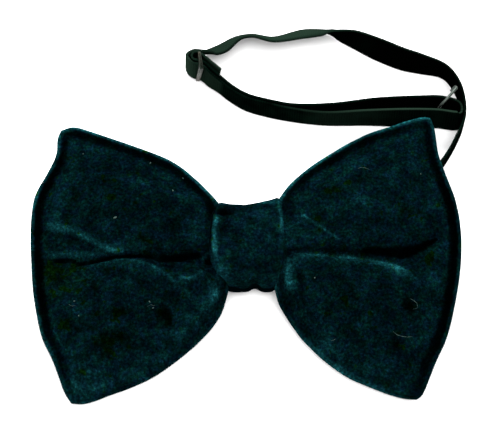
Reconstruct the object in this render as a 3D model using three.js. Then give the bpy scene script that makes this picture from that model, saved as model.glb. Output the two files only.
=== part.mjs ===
// Velvet bow tie, ready made, with its adjustable neck strap, in millimetres, +Z up.
// It lies face up as it would on a table: X runs across the bow, Y up its front, and the origin
// is the middle of the knot's flat back. The strap stands on its edge behind the bow.
import * as THREE from 'three';

// Sizes that drive the rest
const clearance = 0.3; // between pieces that touch on the real thing
const velvetWall = 1.8; // the knot sleeve's padded cloth
// The sewn edge, its rolled bead and how far in that lies, and the groove inside the bead
const rim = { edge: 1.3, bead: 3.0, reach: 1.2, grooveDeep: 0.9, grooveAt: 3.0, grooveHalf: 1.8 };
const knot = {
  low: 0, high: 17.6, halfHeight: 13.4, middleY: 0.4, backRadius: 5, frontRadius: 7.5,
  halfWidth: 10, bottomHalfWidth: 6.9, taperStart: -3, crown: 0.7, softEdge: 0.7, topRise: 0.9,
};
const waist = { middleZ: 9.5, halfDepth: 6.0, halfHeight: 11.2, roundness: 2.3, spread: 0.16 };
const ribbon = { width: 9.5, thick: 1.0 };
const slide = { // a rectangular ring that stands across the strap: its two bars run along the ribbon's width
  pitch: 4.05, bar: 0.9, rail: 0.7, thick: 0.9, corner: 0.6, middle: [-16.6, 62.8, 5.95], leanDeg: 5,
};
const eye = { wire: 0.9, width: 8.2, corner: 1.6, barX: -22.6, barZ: 2.1 };
const hookRadius = 0.5;
const meshSteps = { wing: 34, waist: 5, lobe: 13, ribbonPerStation: 3, knotCorner: 6, hook: 36 };
const crowding = { knot: 1.3, edge: 1.6 }; // above 1 a wing's rings stand closer together there

// Each wing is a patch between four edges: top and bottom run out from the knot, side runs from
// the bottom corner to the top one, and the throat is where the wing leaves the knot.
const leftWing = {
  top: [[-10.5, 11.2], [-10.6, 16.4], [-15.4, 22.8], [-25.0, 31.2], [-38.0, 36.9], [-51.1, 41.6],
    [-56.6, 42.9], [-60.6, 41.8]],
  bottom: [[-7.7, -10.3], [-7.5, -15.5], [-10.2, -22.8], [-18.0, -31.0], [-30.3, -40.0],
    [-42.6, -45.2], [-50.0, -47.9], [-54.6, -47.9]],
  side: [[-54.6, -47.9], [-57.1, -44.0], [-60.6, -34.7], [-64.6, -26.4], [-67.3, -14.1],
    [-68.7, -0.7], [-69.1, 10.0], [-68.2, 19.2], [-64.5, 27.0], [-61.9, 33.0], [-61.6, 38.8],
    [-60.6, 41.8]],
  // Height of the wing's back above the table
  back: [
    { out: 0.0, bottom: 3.4, middle: 3.4, top: 3.4 },
    { out: 0.2, bottom: 2.6, middle: 5.3, top: 3.6 },
    { out: 0.4, bottom: 1.2, middle: 3.7, top: 2.4 },
    { out: 0.7, bottom: 0.5, middle: 1.6, top: 1.6 },
    { out: 1.0, bottom: 0.4, middle: 1.8, top: 2.6 },
  ],
  // The long fold: where it lies, how deep it is, and how far its two banks reach
  fold: [
    { out: 0.0, y: -4.1, deep: 1.4, above: 3.0, below: 8.0 },
    { out: 0.15, y: -4.0, deep: 3.0, above: 3.0, below: 10.0 },
    { out: 0.3, y: -4.5, deep: 3.2, above: 3.0, below: 4.0 },
    { out: 0.48, y: -2.4, deep: 2.4, above: 2.4, below: 2.6 },
    { out: 0.66, y: -3.3, deep: 2.0, above: 6.0, below: 3.0 },
    { out: 0.85, y: -3.7, deep: 1.2, above: 11.5, below: 6.0 },
    { out: 1.0, y: -3.6, deep: 0.0, above: 12.0, below: 8.0 },
  ],
};
const rightWing = {
  top: [[10.5, 11.2], [10.6, 17.0], [13.8, 23.0], [21.2, 29.1], [34.9, 36.7], [46.6, 40.5],
    [54.0, 42.6], [57.4, 42.4]],
  bottom: [[7.9, -10.1], [8.0, -14.8], [10.3, -18.6], [17.6, -28.6], [28.3, -37.9], [39.2, -43.7],
    [47.0, -46.4], [51.4, -46.8]],
  side: [[51.4, -46.8], [53.6, -44.6], [57.6, -35.1], [61.2, -27.5], [64.2, -15.0], [65.9, -2.5],
    [65.9, 7.0], [64.6, 15.4], [61.9, 23.1], [59.5, 31.1], [58.7, 38.5], [57.4, 42.4]],
  back: [
    { out: 0.0, bottom: 3.4, middle: 3.4, top: 3.4 },
    { out: 0.2, bottom: 2.6, middle: 4.0, top: 4.4 },
    { out: 0.4, bottom: 2.0, middle: 4.8, top: 6.0 },
    { out: 0.7, bottom: 1.4, middle: 7.6, top: 9.4 },
    { out: 1.0, bottom: 1.0, middle: 8.8, top: 11.2 },
  ],
  fold: [
    { out: 0.0, y: -2.0, deep: 1.0, above: 2.4, below: 2.4 },
    { out: 0.25, y: -2.1, deep: 1.9, above: 2.4, below: 2.4 },
    { out: 0.48, y: -3.9, deep: 2.6, above: 3.6, below: 2.4 },
    { out: 0.63, y: -5.3, deep: 3.2, above: 6.0, below: 3.4 },
    { out: 0.76, y: -2.9, deep: 2.6, above: 5.0, below: 9.0 },
    { out: 0.87, y: 0.4, deep: 1.2, above: 4.0, below: 13.0 },
    { out: 1.0, y: 3.0, deep: 0.0, above: 4.0, below: 14.0 },
  ],
};

// How thick the padding stands above the rim, out along a wing
const loft = [
  { out: 0.0, thick: 9.1 }, { out: 0.12, thick: 8.2 }, { out: 0.3, thick: 6.4 },
  { out: 0.6, thick: 4.6 }, { out: 0.85, thick: 3.0 }, { out: 1.0, thick: 0.4 },
];
// Gathers that fan out of the knot
const gather = { count: 3.5, deep: 0.55, reach: 0.42 };

// The ribbon's middle line. tipX and tipY are how far its upper edge lies from its lower edge, seen
// from above, and lift is how high its lowest edge is: a flat stretch has a full ribbon width there.
const strapStations = [
  // the short end that holds the eye, doubled round it, then flat under the left wing
  { x: -16.5, y: 0, tipX: 0, tipY: 9.5, lift: 3.4 },
  { x: -19.6, y: 0, tipX: 0, tipY: 9.5, lift: 3.45 },
  { x: -22.6, y: 0, tipX: 0, tipY: 9.5, lift: 3.45 },
  { x: -23.55, y: 0, tipX: 0, tipY: 9.5, lift: 3.05 },
  { x: -23.95, y: 0, tipX: 0, tipY: 9.5, lift: 2.1 },
  { x: -23.55, y: 0, tipX: 0, tipY: 9.5, lift: 1.15 },
  { x: -22.6, y: 0, tipX: 0, tipY: 9.5, lift: 0.75 },
  { x: -18.0, y: 0, tipX: 0, tipY: 9.5, lift: 0.75 },
  { x: -13.5, y: 0, tipX: 0, tipY: 9.5, lift: 1.7 },
  // through the knot
  { x: -9.5, y: 0, tipX: 0, tipY: 9.5, lift: 2.6 },
  { x: 0, y: 0, tipX: 0, tipY: 9.5, lift: 2.6 },
  { x: 9.5, y: 0, tipX: 0, tipY: 9.5, lift: 2.6 },
  // under the right wing, turning up on its edge
  { x: 15.5, y: 1.2, tipX: -2.0, tipY: 9.29, lift: 1.2 },
  { x: 24.0, y: 4.4, tipX: -4.0, tipY: 8.61, lift: 0.85 },
  { x: 33.0, y: 9.0, tipX: -4.7, tipY: 8.15, lift: 0.6 },
  { x: 41.0, y: 14.0, tipX: -4.7, tipY: 7.2, lift: 0.5 },
  { x: 49.0, y: 19.4, tipX: -3.4, tipY: 4.8, lift: 0.4 },
  { x: 55.5, y: 24.0, tipX: -1.6, tipY: 1.9, lift: 0.3 },
  { x: 60.0, y: 28.0, tipX: -0.3, tipY: 0.3, lift: 0.3 },
  // the strand that shows beside the right wing
  { x: 63.1, y: 32.0, tipX: 0, tipY: 0, lift: 0.3 },
  { x: 66.4, y: 38.1, tipX: 0, tipY: 0, lift: 0.3 },
  { x: 68.6, y: 44.2, tipX: 0, tipY: 0, lift: 0.3 },
  { x: 68.8, y: 50.0, tipX: 0.4, tipY: 0.1, lift: 0.3 },
  { x: 67.0, y: 56.4, tipX: 1.0, tipY: 0.8, lift: 0.3 },
  // the far strand, which rolls over from its inner face to its outer face
  { x: 63.4, y: 61.6, tipX: 0.7, tipY: 1.0, lift: 0.3 },
  { x: 55.6, y: 65.0, tipX: 0.7, tipY: 2.0, lift: 0.3 },
  { x: 49.8, y: 66.9, tipX: 0.9, tipY: 2.8, lift: 0.3 },
  { x: 42.0, y: 69.9, tipX: 1.2, tipY: 3.0, lift: 0.3 },
  { x: 34.2, y: 73.3, tipX: 0.4, tipY: 1.2, lift: 0.3 },
  { x: 28.0, y: 75.3, tipX: -0.2, tipY: -2.0, lift: 0.3 },
  { x: 18.6, y: 75.8, tipX: 0.5, tipY: -5.3, lift: 0.3 },
  { x: 8.1, y: 73.9, tipX: 0.2, tipY: -4.7, lift: 0.3 },
  { x: 0.8, y: 74.5, tipX: 0.2, tipY: -3.6, lift: 0.3 },
  { x: -3.7, y: 73.8, tipX: 1.5, tipY: -4.2, lift: 0.3 },
  { x: -9.0, y: 70.7, tipX: 2.9, tipY: -4.9, lift: 0.4 },
  { x: -12.6, y: 69.5, tipX: 1.6, tipY: -4.4, lift: 0.7 },
  // the turn to the left of the slide
  { x: -15.0, y: 68.8, tipX: 0.2, tipY: -2.4, lift: 1.0 },
  { x: -18.2, y: 68.2, tipX: 0.9, tipY: -1.4, lift: 1.2 },
  { x: -19.9, y: 65.7, tipX: 2.0, tipY: -0.1, lift: 1.2 },
  { x: -19.3, y: 63.2, tipX: 1.1, tipY: 0.9, lift: 1.2 },
  { x: -17.9, y: 62.3, tipX: 0.2, tipY: 0.8, lift: 1.2 },
  // through the slide, behind its near bar, and out along the near side
  { x: -16.5, y: 62.1, tipX: 0, tipY: 0.83, lift: 1.2 },
  { x: -15.1, y: 61.5, tipX: 0.1, tipY: 0.8, lift: 1.2 },
  { x: -12.9, y: 59.9, tipX: 0.3, tipY: 0.5, lift: 1.1 },
  { x: -9.7, y: 57.0, tipX: 0.2, tipY: 0.3, lift: 0.8 },
  { x: -6.3, y: 54.2, tipX: 0.2, tipY: 0.3, lift: 0.5 },
  { x: -1.2, y: 51.0, tipX: 0.2, tipY: 0.5, lift: 0.3 },
  { x: 5.4, y: 49.0, tipX: 0.2, tipY: 0.7, lift: 0.3 },
  { x: 13.2, y: 47.2, tipX: 0.1, tipY: 0.5, lift: 0.3 },
  { x: 24.0, y: 46.0, tipX: 0, tipY: 0.4, lift: 0.3 },
  { x: 38.0, y: 45.6, tipX: 0, tipY: 0.8, lift: 0.3 },
  { x: 50.0, y: 45.5, tipX: 0, tipY: 1.1, lift: 0.3 },
  { x: 61.0, y: 45.1, tipX: 0, tipY: 1.3, lift: 0.3 },
  // round the hook's bar and back
  { x: 65.2, y: 44.9, tipX: -0.2, tipY: 0.9, lift: 0.3 },
  { x: 67.0, y: 47.0, tipX: -0.6, tipY: 0.2, lift: 0.3 },
  { x: 65.3, y: 49.4, tipX: -0.2, tipY: 0.4, lift: 0.3 },
  { x: 60.5, y: 50.6, tipX: 0, tipY: 0.9, lift: 0.3 },
  { x: 54.8, y: 50.9, tipX: 0, tipY: 1.0, lift: 0.3 },
  { x: 41.3, y: 50.0, tipX: 0, tipY: 0.8, lift: 0.3 },
  { x: 26.0, y: 48.1, tipX: 0, tipY: 0.5, lift: 0.3 },
  { x: 13.6, y: 48.6, tipX: 0.1, tipY: 0.5, lift: 0.3 },
  { x: 5.8, y: 50.3, tipX: 0.2, tipY: 0.7, lift: 0.3 },
  { x: -0.6, y: 52.3, tipX: 0.2, tipY: 0.5, lift: 0.3 },
  { x: -5.4, y: 55.2, tipX: 0.2, tipY: 0.3, lift: 0.5 },
  { x: -8.8, y: 58.0, tipX: 0.2, tipY: 0.3, lift: 0.8 },
  { x: -12.1, y: 61.0, tipX: 0.3, tipY: 0.5, lift: 1.1 },
  // looped round the slide's far bar, with a short cut tail
  { x: -14.6, y: 62.8, tipX: 0.1, tipY: 0.8, lift: 1.2 },
  { x: -16.6, y: 63.38, tipX: 0, tipY: 0.83, lift: 1.2 },
  { x: -17.65, y: 63.8, tipX: 0, tipY: 0.83, lift: 1.2 },
  { x: -18.08, y: 64.85, tipX: 0, tipY: 0.83, lift: 1.2 },
  { x: -17.65, y: 65.9, tipX: 0, tipY: 0.83, lift: 1.2 },
  { x: -16.6, y: 66.33, tipX: 0, tipY: 0.83, lift: 1.2 },
  { x: -14.0, y: 64.5, tipX: 0.1, tipY: 0.8, lift: 1.2 },
  { x: -11.7, y: 62.4, tipX: 0.3, tipY: 0.7, lift: 1.1 },
  { x: -9.5, y: 60.5, tipX: 0.3, tipY: 0.7, lift: 1.0 },
];
// The hook's bent wire: its bar stands in the strap's end loop, its rail passes over the strand
const hookStations = [
  { x: 60.2, y: 47.8, z: 1.2 }, { x: 60.2, y: 47.8, z: 5.0 }, { x: 60.2, y: 47.8, z: 9.4 },
  { x: 60.6, y: 48.3, z: 10.7 }, { x: 61.6, y: 49.5, z: 10.9 }, { x: 65.6, y: 54.0, z: 10.9 },
  { x: 66.5, y: 55.0, z: 10.3 }, { x: 66.5, y: 55.3, z: 9.2 }, { x: 65.7, y: 54.5, z: 8.6 },
  { x: 64.2, y: 52.9, z: 8.6 },
];

const cloth = { color: 0x04181c, roughness: 0.95, metalness: 0 };
const finishes = {
  bow: cloth,
  knot_band: cloth,
  neck_strap: { color: 0x0b1712, roughness: 0.8, metalness: 0 },
  slider: { color: 0xb4b8a8, roughness: 0.35, metalness: 1 },
  hook: { color: 0xb0b6b6, roughness: 0.35, metalness: 1 },
  eye: { color: 0xb0b6b6, roughness: 0.35, metalness: 1 },
};

const group = new THREE.Group();

function addPiece(name, geometry) {
  const piece = new THREE.Mesh(geometry, new THREE.MeshStandardMaterial(finishes[name]));
  piece.name = name;
  group.add(piece);
  return piece;
}

// One smooth step from 0 to 1 as value goes from low to high
function ease(value, low, high) {
  return THREE.MathUtils.smoothstep(value, low, high);
}

// The value of one column of a table at a place along its first column, eased between rows
function fromTable(rows, column, place) {
  const last = rows.length - 1;
  if (place >= rows[last].out) {
    return rows[last][column];
  }
  const next = Math.max(1, rows.findIndex((row) => row.out > place));
  const [a, b] = [rows[next - 1], rows[next]];
  return THREE.MathUtils.lerp(a[column], b[column], (place - a.out) / (b.out - a.out));
}

// A closed solid from a list of equal rings of points. The rings either run in a closed loop or
// have both ends capped: capOf gives the faces of one end as point numbers of its ring
function solidFromRings(rings, capOf) {
  const size = rings[0].length;
  const index = [];
  const joins = capOf ? rings.length - 1 : rings.length;
  for (let i = 0; i < joins; i += 1) {
    const here = i * size;
    const there = ((i + 1) % rings.length) * size;
    for (let j = 0; j < size; j += 1) {
      const k = (j + 1) % size;
      index.push(here + j, there + j, there + k, here + j, there + k, here + k);
    }
  }
  if (capOf) {
    const end = (rings.length - 1) * size;
    for (const [a, b, c] of capOf(size)) {
      index.push(a, b, c);
      index.push(end + a, end + c, end + b);
    }
  }
  const geometry = new THREE.BufferGeometry();
  geometry.setAttribute('position', new THREE.Float32BufferAttribute(
    rings.flat().flatMap((p) => [p.x, p.y, p.z]), 3));
  geometry.setIndex(index);
  return geometry;
}

// The bow's waist inside the knot, as heights at a distance y from its middle
function waistHeights(y) {
  const share = Math.min(1, Math.abs(y) / waist.halfHeight);
  const domed = waist.halfDepth * (1 - share ** waist.roundness) ** (1 / waist.roundness);
  const half = Math.max(rim.edge / 2, domed);
  return { low: waist.middleZ - half, thick: 2 * half };
}

// A point of the wing's outline patch: out runs from the knot to the outer edge, up from the
// bottom edge to the top edge
function wingOutline(wing) {
  const curve = (points) => new THREE.SplineCurve(points.map(([x, y]) => new THREE.Vector2(x, y)));
  const edges = { top: curve(wing.top), bottom: curve(wing.bottom), side: curve(wing.side) };
  const [throatLow, throatHigh] = [edges.bottom.getPoint(0), edges.top.getPoint(0)];
  const [tipLow, tipHigh] = [edges.bottom.getPoint(1), edges.top.getPoint(1)];
  return (out, up) => {
    const across = edges.bottom.getPointAt(out).lerp(edges.top.getPointAt(out), up);
    const sideways = throatLow.clone().lerp(throatHigh, up).lerp(edges.side.getPointAt(up), out);
    const corners = throatLow.clone().lerp(tipLow, out).lerp(throatHigh.clone().lerp(tipHigh, out), up);
    return across.add(sideways).sub(corners);
  };
}

// Height of a wing's back at a point of the patch: bottom, middle and top are joined smoothly
function backHeight(wing, out, up) {
  const [low, mid, high] = ['bottom', 'middle', 'top'].map((column) => fromTable(wing.back, column, out));
  const lower = THREE.MathUtils.lerp(low, mid, ease(up, 0, 0.5));
  return THREE.MathUtils.lerp(lower, high, ease(up, 0.5, 1));
}

// How far the front of a wing stands above its back
function wingThickness(wing, out, up, y, edgeDistance) {
  const rolled = THREE.MathUtils.lerp(rim.edge, rim.bead, ease(edgeDistance, 0, rim.reach));
  const groove = rim.grooveDeep * (1 - ease(Math.abs(edgeDistance - rim.grooveAt), 0, rim.grooveHalf));
  const padded = fromTable(loft, 'thick', out) * Math.sqrt(Math.sin(Math.PI * up));
  const line = fromTable(wing.fold, 'y', out);
  const bank = fromTable(wing.fold, y > line ? 'above' : 'below', out);
  const crease = fromTable(wing.fold, 'deep', out) * (1 - ease(Math.abs(y - line), 0, bank));
  const fan = gather.deep * (1 - ease(out, 0, gather.reach)) * Math.sin(Math.PI * up)
    * Math.cos(2 * Math.PI * gather.count * up);
  return Math.max(rim.edge, rolled + padded - groove - crease + fan);
}

// Places from 0 to 1 up a ring, close together at both edges and at the fold between its two lobes
function placesUp(foldUp) {
  const places = [];
  for (let j = 0; j <= meshSteps.lobe; j += 1) {
    places.push(foldUp * (0.5 - 0.5 * Math.cos(Math.PI * j / meshSteps.lobe)));
  }
  for (let j = 1; j <= meshSteps.lobe; j += 1) {
    places.push(foldUp + (1 - foldUp) * (0.5 - 0.5 * Math.cos(Math.PI * j / meshSteps.lobe)));
  }
  return places;
}

// One ring of the bow: its front from bottom to top, then its back from top to bottom
function wingRing(wing, outline, out) {
  const front = [];
  const back = [];
  const height = outline(out, 1).distanceTo(outline(out, 0));
  const length = outline(1, 0.5).distanceTo(outline(0, 0.5));
  const throatShare = 1 - ease(out, 0, waist.spread);
  const [lowest, highest] = [outline(out, 0).y, outline(out, 1).y];
  for (const up of placesUp((fromTable(wing.fold, 'y', out) - lowest) / (highest - lowest))) {
    const p = outline(out, up);
    const edgeDistance = Math.min(up * height, (1 - up) * height, (1 - out) * length);
    const inKnot = waistHeights(p.y - knot.middleY);
    const low = THREE.MathUtils.lerp(backHeight(wing, out, up), inKnot.low, throatShare);
    const padding = wingThickness(wing, out, up, p.y, edgeDistance);
    const thick = THREE.MathUtils.lerp(padding, inKnot.thick, throatShare);
    front.push(new THREE.Vector3(p.x, p.y, low + thick));
    back.push(new THREE.Vector3(p.x, p.y, low));
  }
  return front.concat(back.reverse());
}

function bowGeometry() {
  const [left, right] = [wingOutline(leftWing), wingOutline(rightWing)];
  const outOf = (i) => 1 - (1 - (i / meshSteps.wing) ** crowding.knot) ** crowding.edge;
  const rings = [];
  for (let i = meshSteps.wing; i >= 0; i -= 1) {
    rings.push(wingRing(leftWing, left, outOf(i)));
  }
  const [from, to] = [rings[rings.length - 1], wingRing(rightWing, right, 0)];
  for (let i = 1; i < meshSteps.waist; i += 1) {
    rings.push(from.map((p, j) => p.clone().lerp(to[j], i / meshSteps.waist)));
  }
  for (let i = 0; i <= meshSteps.wing; i += 1) {
    rings.push(wingRing(rightWing, right, outOf(i)));
  }
  const capOf = (size) => {
    const faces = [];
    for (let j = 0; j < size / 2 - 1; j += 1) {
      const far = size - 1 - j;
      faces.push([j, j + 1, far - 1], [j, far - 1, far]);
    }
    return faces;
  };
  return solidFromRings(rings, capOf);
}

// Half the knot sleeve's width at a height y up the bow: it draws in towards the bottom
function knotHalfWidth(y) {
  const share = ease(-y, -knot.taperStart, knot.halfHeight);
  return THREE.MathUtils.lerp(knot.halfWidth, knot.bottomHalfWidth, share);
}

// The knot sleeve's outside seen from the side: a flat back, a domed front and four round corners,
// each point with the way that it faces
function knotSection() {
  const corners = [
    { sideY: -1, from: 180, radius: knot.backRadius, z: knot.low + knot.backRadius },
    { sideY: 1, from: 270, radius: knot.backRadius, z: knot.low + knot.backRadius },
    { sideY: 1, from: 0, radius: knot.frontRadius, z: knot.high - knot.frontRadius },
    { sideY: -1, from: 90, radius: knot.frontRadius, z: knot.high - knot.frontRadius },
  ];
  const section = [];
  for (const corner of corners) {
    for (let i = 0; i <= meshSteps.knotCorner; i += 1) {
      const turn = THREE.MathUtils.degToRad(corner.from + 90 * i / meshSteps.knotCorner);
      const [faceY, faceZ] = [Math.cos(turn), Math.sin(turn)];
      const y = corner.sideY * (knot.halfHeight - corner.radius) + corner.radius * faceY;
      section.push({ y, z: corner.z + corner.radius * faceZ, faceY, faceZ });
    }
  }
  return section;
}

// The knot sleeve: one profile, outside then inside, carried round the section
function knotGeometry() {
  const rings = knotSection().map(({ y, z, faceY, faceZ }) => {
    const crown = knot.crown * Math.max(0, faceZ);
    const soft = -knot.softEdge * ease(faceZ, -1, -0.9);
    const profile = [
      [-1, soft], [-0.9, crown * 0.4], [0, crown], [0.9, crown * 0.4], [1, soft],
      [1, -velvetWall], [0, -velvetWall], [-1, -velvetWall],
    ];
    const risen = knot.topRise * ease(y, 0, knot.halfHeight);
    const middleY = y + knot.middleY;
    return profile.map(([across, out]) => new THREE.Vector3(
      across * knotHalfWidth(y), middleY + faceY * out + Math.max(0, across) * risen, z + faceZ * out));
  });
  return solidFromRings(rings, null);
}

// A station of the ribbon from a row of a table: its middle point and the way its width runs
function station({ x, y, tipX, tipY, lift }) {
  const rise = Math.sqrt(Math.max(0, ribbon.width ** 2 - tipX ** 2 - tipY ** 2));
  return { middle: new THREE.Vector3(x, y, lift + rise / 2), across: new THREE.Vector3(tipX, tipY, rise) };
}

// The neck strap: a flat ribbon carried through its stations, turned to stay flat along its run
function strapGeometry() {
  const stations = strapStations.map(station);
  const path = new THREE.CatmullRomCurve3(stations.map(({ middle }) => middle), false, 'centripetal');
  const widths = new THREE.CatmullRomCurve3(stations.map(({ across }) => across), false, 'catmullrom', 0.5);
  const rings = [];
  const steps = (stations.length - 1) * meshSteps.ribbonPerStation;
  for (let i = 0; i <= steps; i += 1) {
    const t = i / steps;
    const middle = path.getPoint(t);
    const run = path.getTangent(t);
    const across = widths.getPoint(t);
    across.addScaledVector(run, -across.dot(run)).setLength(ribbon.width / 2);
    const through = new THREE.Vector3().crossVectors(run, across).setLength(ribbon.thick / 2);
    const corner = (a, b) => middle.clone().addScaledVector(across, a).addScaledVector(through, b);
    rings.push([corner(1, 1), corner(1, -1), corner(-1, -1), corner(-1, 1)]);
  }
  return solidFromRings(rings, () => [[0, 1, 2], [0, 2, 3]]);
}

// A rectangular ring of flat wire, its middle at the origin: side and end are its wire's widths
function ringGeometry(width, height, side, end, thick, corner) {
  const outline = (w, h, r, path) => {
    path.moveTo(r - w, -h).lineTo(w - r, -h).quadraticCurveTo(w, -h, w, r - h);
    path.lineTo(w, h - r).quadraticCurveTo(w, h, w - r, h);
    path.lineTo(r - w, h).quadraticCurveTo(-w, h, -w, h - r);
    return path.lineTo(-w, r - h).quadraticCurveTo(-w, -h, r - w, -h);
  };
  const shape = outline(width / 2, height / 2, corner, new THREE.Shape());
  shape.holes.push(outline(width / 2 - side, height / 2 - end, corner * 0.4, new THREE.Path()));
  const ring = new THREE.ExtrudeGeometry(shape, { depth: thick, bevelEnabled: false, curveSegments: 4 });
  return ring.translate(0, 0, -thick / 2);
}

// The slide: its near bar lies in front of the strap and its far bar in the strap's looped end
function addSlider() {
  const [width, height] = [slide.pitch + slide.bar, ribbon.width + 2 * clearance + 2 * slide.rail];
  const ring = ringGeometry(width, height, slide.bar, slide.rail, slide.thick, slide.corner);
  const piece = addPiece('slider', ring);
  const lean = THREE.MathUtils.degToRad(slide.leanDeg);
  const bar = new THREE.Vector3(0, Math.sin(lean), Math.cos(lean));
  const across = new THREE.Vector3(0, Math.cos(lean), -Math.sin(lean));
  const through = across.clone().cross(bar);
  piece.quaternion.setFromRotationMatrix(new THREE.Matrix4().makeBasis(across, bar, through));
  piece.position.set(...slide.middle);
}

// The hook: round wire bent through its stations
function hookGeometry() {
  const path = new THREE.CatmullRomCurve3(hookStations.map(({ x, y, z }) => new THREE.Vector3(x, y, z)));
  const section = new THREE.Shape().absarc(0, 0, hookRadius, 0, 2 * Math.PI);
  return new THREE.ExtrudeGeometry(section, { steps: meshSteps.hook, curveSegments: 4, extrudePath: path });
}

// The eye: a flat ring of wire whose near bar lies in the fold at the strap's short end
function addEye() {
  const height = ribbon.width + 2 * clearance + 2 * eye.wire;
  const piece = addPiece('eye', ringGeometry(eye.width, height, eye.wire, eye.wire, eye.wire, eye.corner));
  piece.position.set(eye.barX - (eye.width - eye.wire) / 2, 0, eye.barZ);
}

addPiece('bow', bowGeometry());
addPiece('knot_band', knotGeometry());
addPiece('neck_strap', strapGeometry());
addSlider();
addPiece('hook', hookGeometry());
addEye();

export default group;
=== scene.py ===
# Velvet bow tie with its woven neck strap: the looks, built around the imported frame
import math
import bpy
import numpy as np
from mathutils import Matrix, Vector, noise


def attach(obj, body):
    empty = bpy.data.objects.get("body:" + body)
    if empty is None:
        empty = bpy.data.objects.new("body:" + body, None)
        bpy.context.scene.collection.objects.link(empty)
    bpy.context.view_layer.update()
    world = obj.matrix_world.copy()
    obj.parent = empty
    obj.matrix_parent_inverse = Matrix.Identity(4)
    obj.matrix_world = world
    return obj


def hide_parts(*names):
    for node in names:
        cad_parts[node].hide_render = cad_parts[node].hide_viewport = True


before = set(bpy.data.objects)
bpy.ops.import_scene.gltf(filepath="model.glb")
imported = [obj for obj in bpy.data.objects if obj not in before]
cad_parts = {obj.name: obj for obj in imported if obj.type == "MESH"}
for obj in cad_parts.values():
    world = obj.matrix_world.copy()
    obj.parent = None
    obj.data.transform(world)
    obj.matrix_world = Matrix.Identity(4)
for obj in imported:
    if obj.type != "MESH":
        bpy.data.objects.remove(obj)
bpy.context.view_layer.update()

mm = 0.001


# Numbers and tables

def smooth(value, low, high):
    share = np.clip((np.asarray(value, float) - low) / (high - low), 0, 1)
    return share * share * (3 - 2 * share)


def bell(value, middle, reach, power=2):
    # 1 at the middle and fading away on both sides
    return np.exp(-((value - middle) / reach) ** power)


def mix(a, b, share):
    return a + (b - a) * share


def table(names, *rows):
    # the names of the columns stand once, above their rows
    return [dict(zip(names.split(), row)) for row in rows]


def readTable(rows, at, name, place):
    return np.interp(place, [row[at] for row in rows], [row[name] for row in rows])


def column(rows, name, place):
    # one column of a table along its "out" column, with its corners rounded off
    rounding = 8  # steps of the grid on each side of a corner
    grid = np.linspace(-0.2, 1.2, 281)
    kernel = np.hanning(2 * rounding + 1)
    padded = np.pad(readTable(rows, "out", name, grid), rounding, mode="edge")
    return np.interp(place, grid, np.convolve(padded, kernel / kernel.sum(), mode="valid"))


def throughPoints(points, stepsEach, evened=False):
    # a curve through the points; evened spaces its bends by the distance between points
    p = np.asarray(points, float)
    p = np.vstack([2 * p[0] - p[1], p, 2 * p[-1] - p[-2]])
    out = []
    for i in range(1, len(p) - 2):
        a, b, c, d = p[i - 1], p[i], p[i + 1], p[i + 2]
        if evened:
            gaps = [max(1e-6, np.linalg.norm(v - u)) ** 0.5 for u, v in ((a, b), (b, c), (c, d))]
            leave = ((b - a) / gaps[0] - (c - a) / (gaps[0] + gaps[1]) + (c - b) / gaps[1]) * gaps[1]
            arrive = ((c - b) / gaps[1] - (d - b) / (gaps[1] + gaps[2]) + (d - c) / gaps[2]) * gaps[1]
        else:
            leave, arrive = (c - a) / 2, (d - b) / 2
        for step in range(stepsEach):
            t = step / stepsEach
            cubic = -3 * b + 3 * c - 2 * leave - arrive
            out.append(b + leave * t + cubic * t ** 2 + (2 * b - 2 * c + leave + arrive) * t ** 3)
    out.append(p[-2])
    return np.array(out)


def lengthsAlong(path):
    return np.concatenate([[0], np.cumsum(np.linalg.norm(np.diff(path, axis=0), axis=1))])


def runsAlong(path):
    runs = np.gradient(path, axis=0)
    return runs / np.linalg.norm(runs, axis=1)[:, None]


def alongCurve(points):
    # places at equal shares of the curve's length
    dense = throughPoints(points, stepsEach=40)
    length = lengthsAlong(dense)
    return lambda share: np.stack([np.interp(share * length[-1], length, dense[:, k]) for k in (0, 1)], -1)


def lineDistance(spots, line):
    # distance of each spot from a line, its share along the line, and its side: +1 left of it
    best = np.full(len(spots), 1e9)
    share = np.zeros(len(spots))
    side = np.ones(len(spots))
    for i in range(len(line) - 1):
        a, run = line[i], line[i + 1] - line[i]
        t = np.clip(((spots - a) @ run) / (run @ run), 0, 1)
        offset = spots - (a + t[:, None] * run)
        distance = np.hypot(offset[:, 0], offset[:, 1])
        nearer = distance < best
        best[nearer] = distance[nearer]
        share[nearer] = (i + t[nearer]) / (len(line) - 1)
        side[nearer] = np.where(run[0] * offset[nearer, 1] - run[1] * offset[nearer, 0] < 0, -1, 1)
    return best, share, side


def noiseAt(spots, size, seed):
    # soft noise in -1..1 whose lumps are about size mm across
    shift = Vector((seed * 17.3, seed * 5.1, seed * 9.7))
    return np.array([noise.noise(Vector(spot) / size + shift) for spot in spots])


def nearlyEven(spots, level, high, size, seed):
    # a level that sways by high over lumps of size mm
    return level + high * noiseAt(spots, size, seed)


def unevenness(spots, lumps, firstSeed):
    # lumps are pairs: how high and how far across
    return sum(high * noiseAt(spots, size, seed) for seed, (high, size) in enumerate(lumps, firstSeed))


# Meshes

def newPiece(name, points, faces):
    # points in mm
    mesh = bpy.data.meshes.new(name)
    mesh.from_pydata([tuple(p * mm) for p in np.asarray(points, float)], [], faces)
    piece = bpy.data.objects.new(name, mesh)
    bpy.context.scene.collection.objects.link(piece)
    mesh.shade_smooth()
    return piece


def selectOnly(piece):
    bpy.ops.object.select_all(action="DESELECT")
    piece.select_set(True)
    bpy.context.view_layer.objects.active = piece


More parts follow.
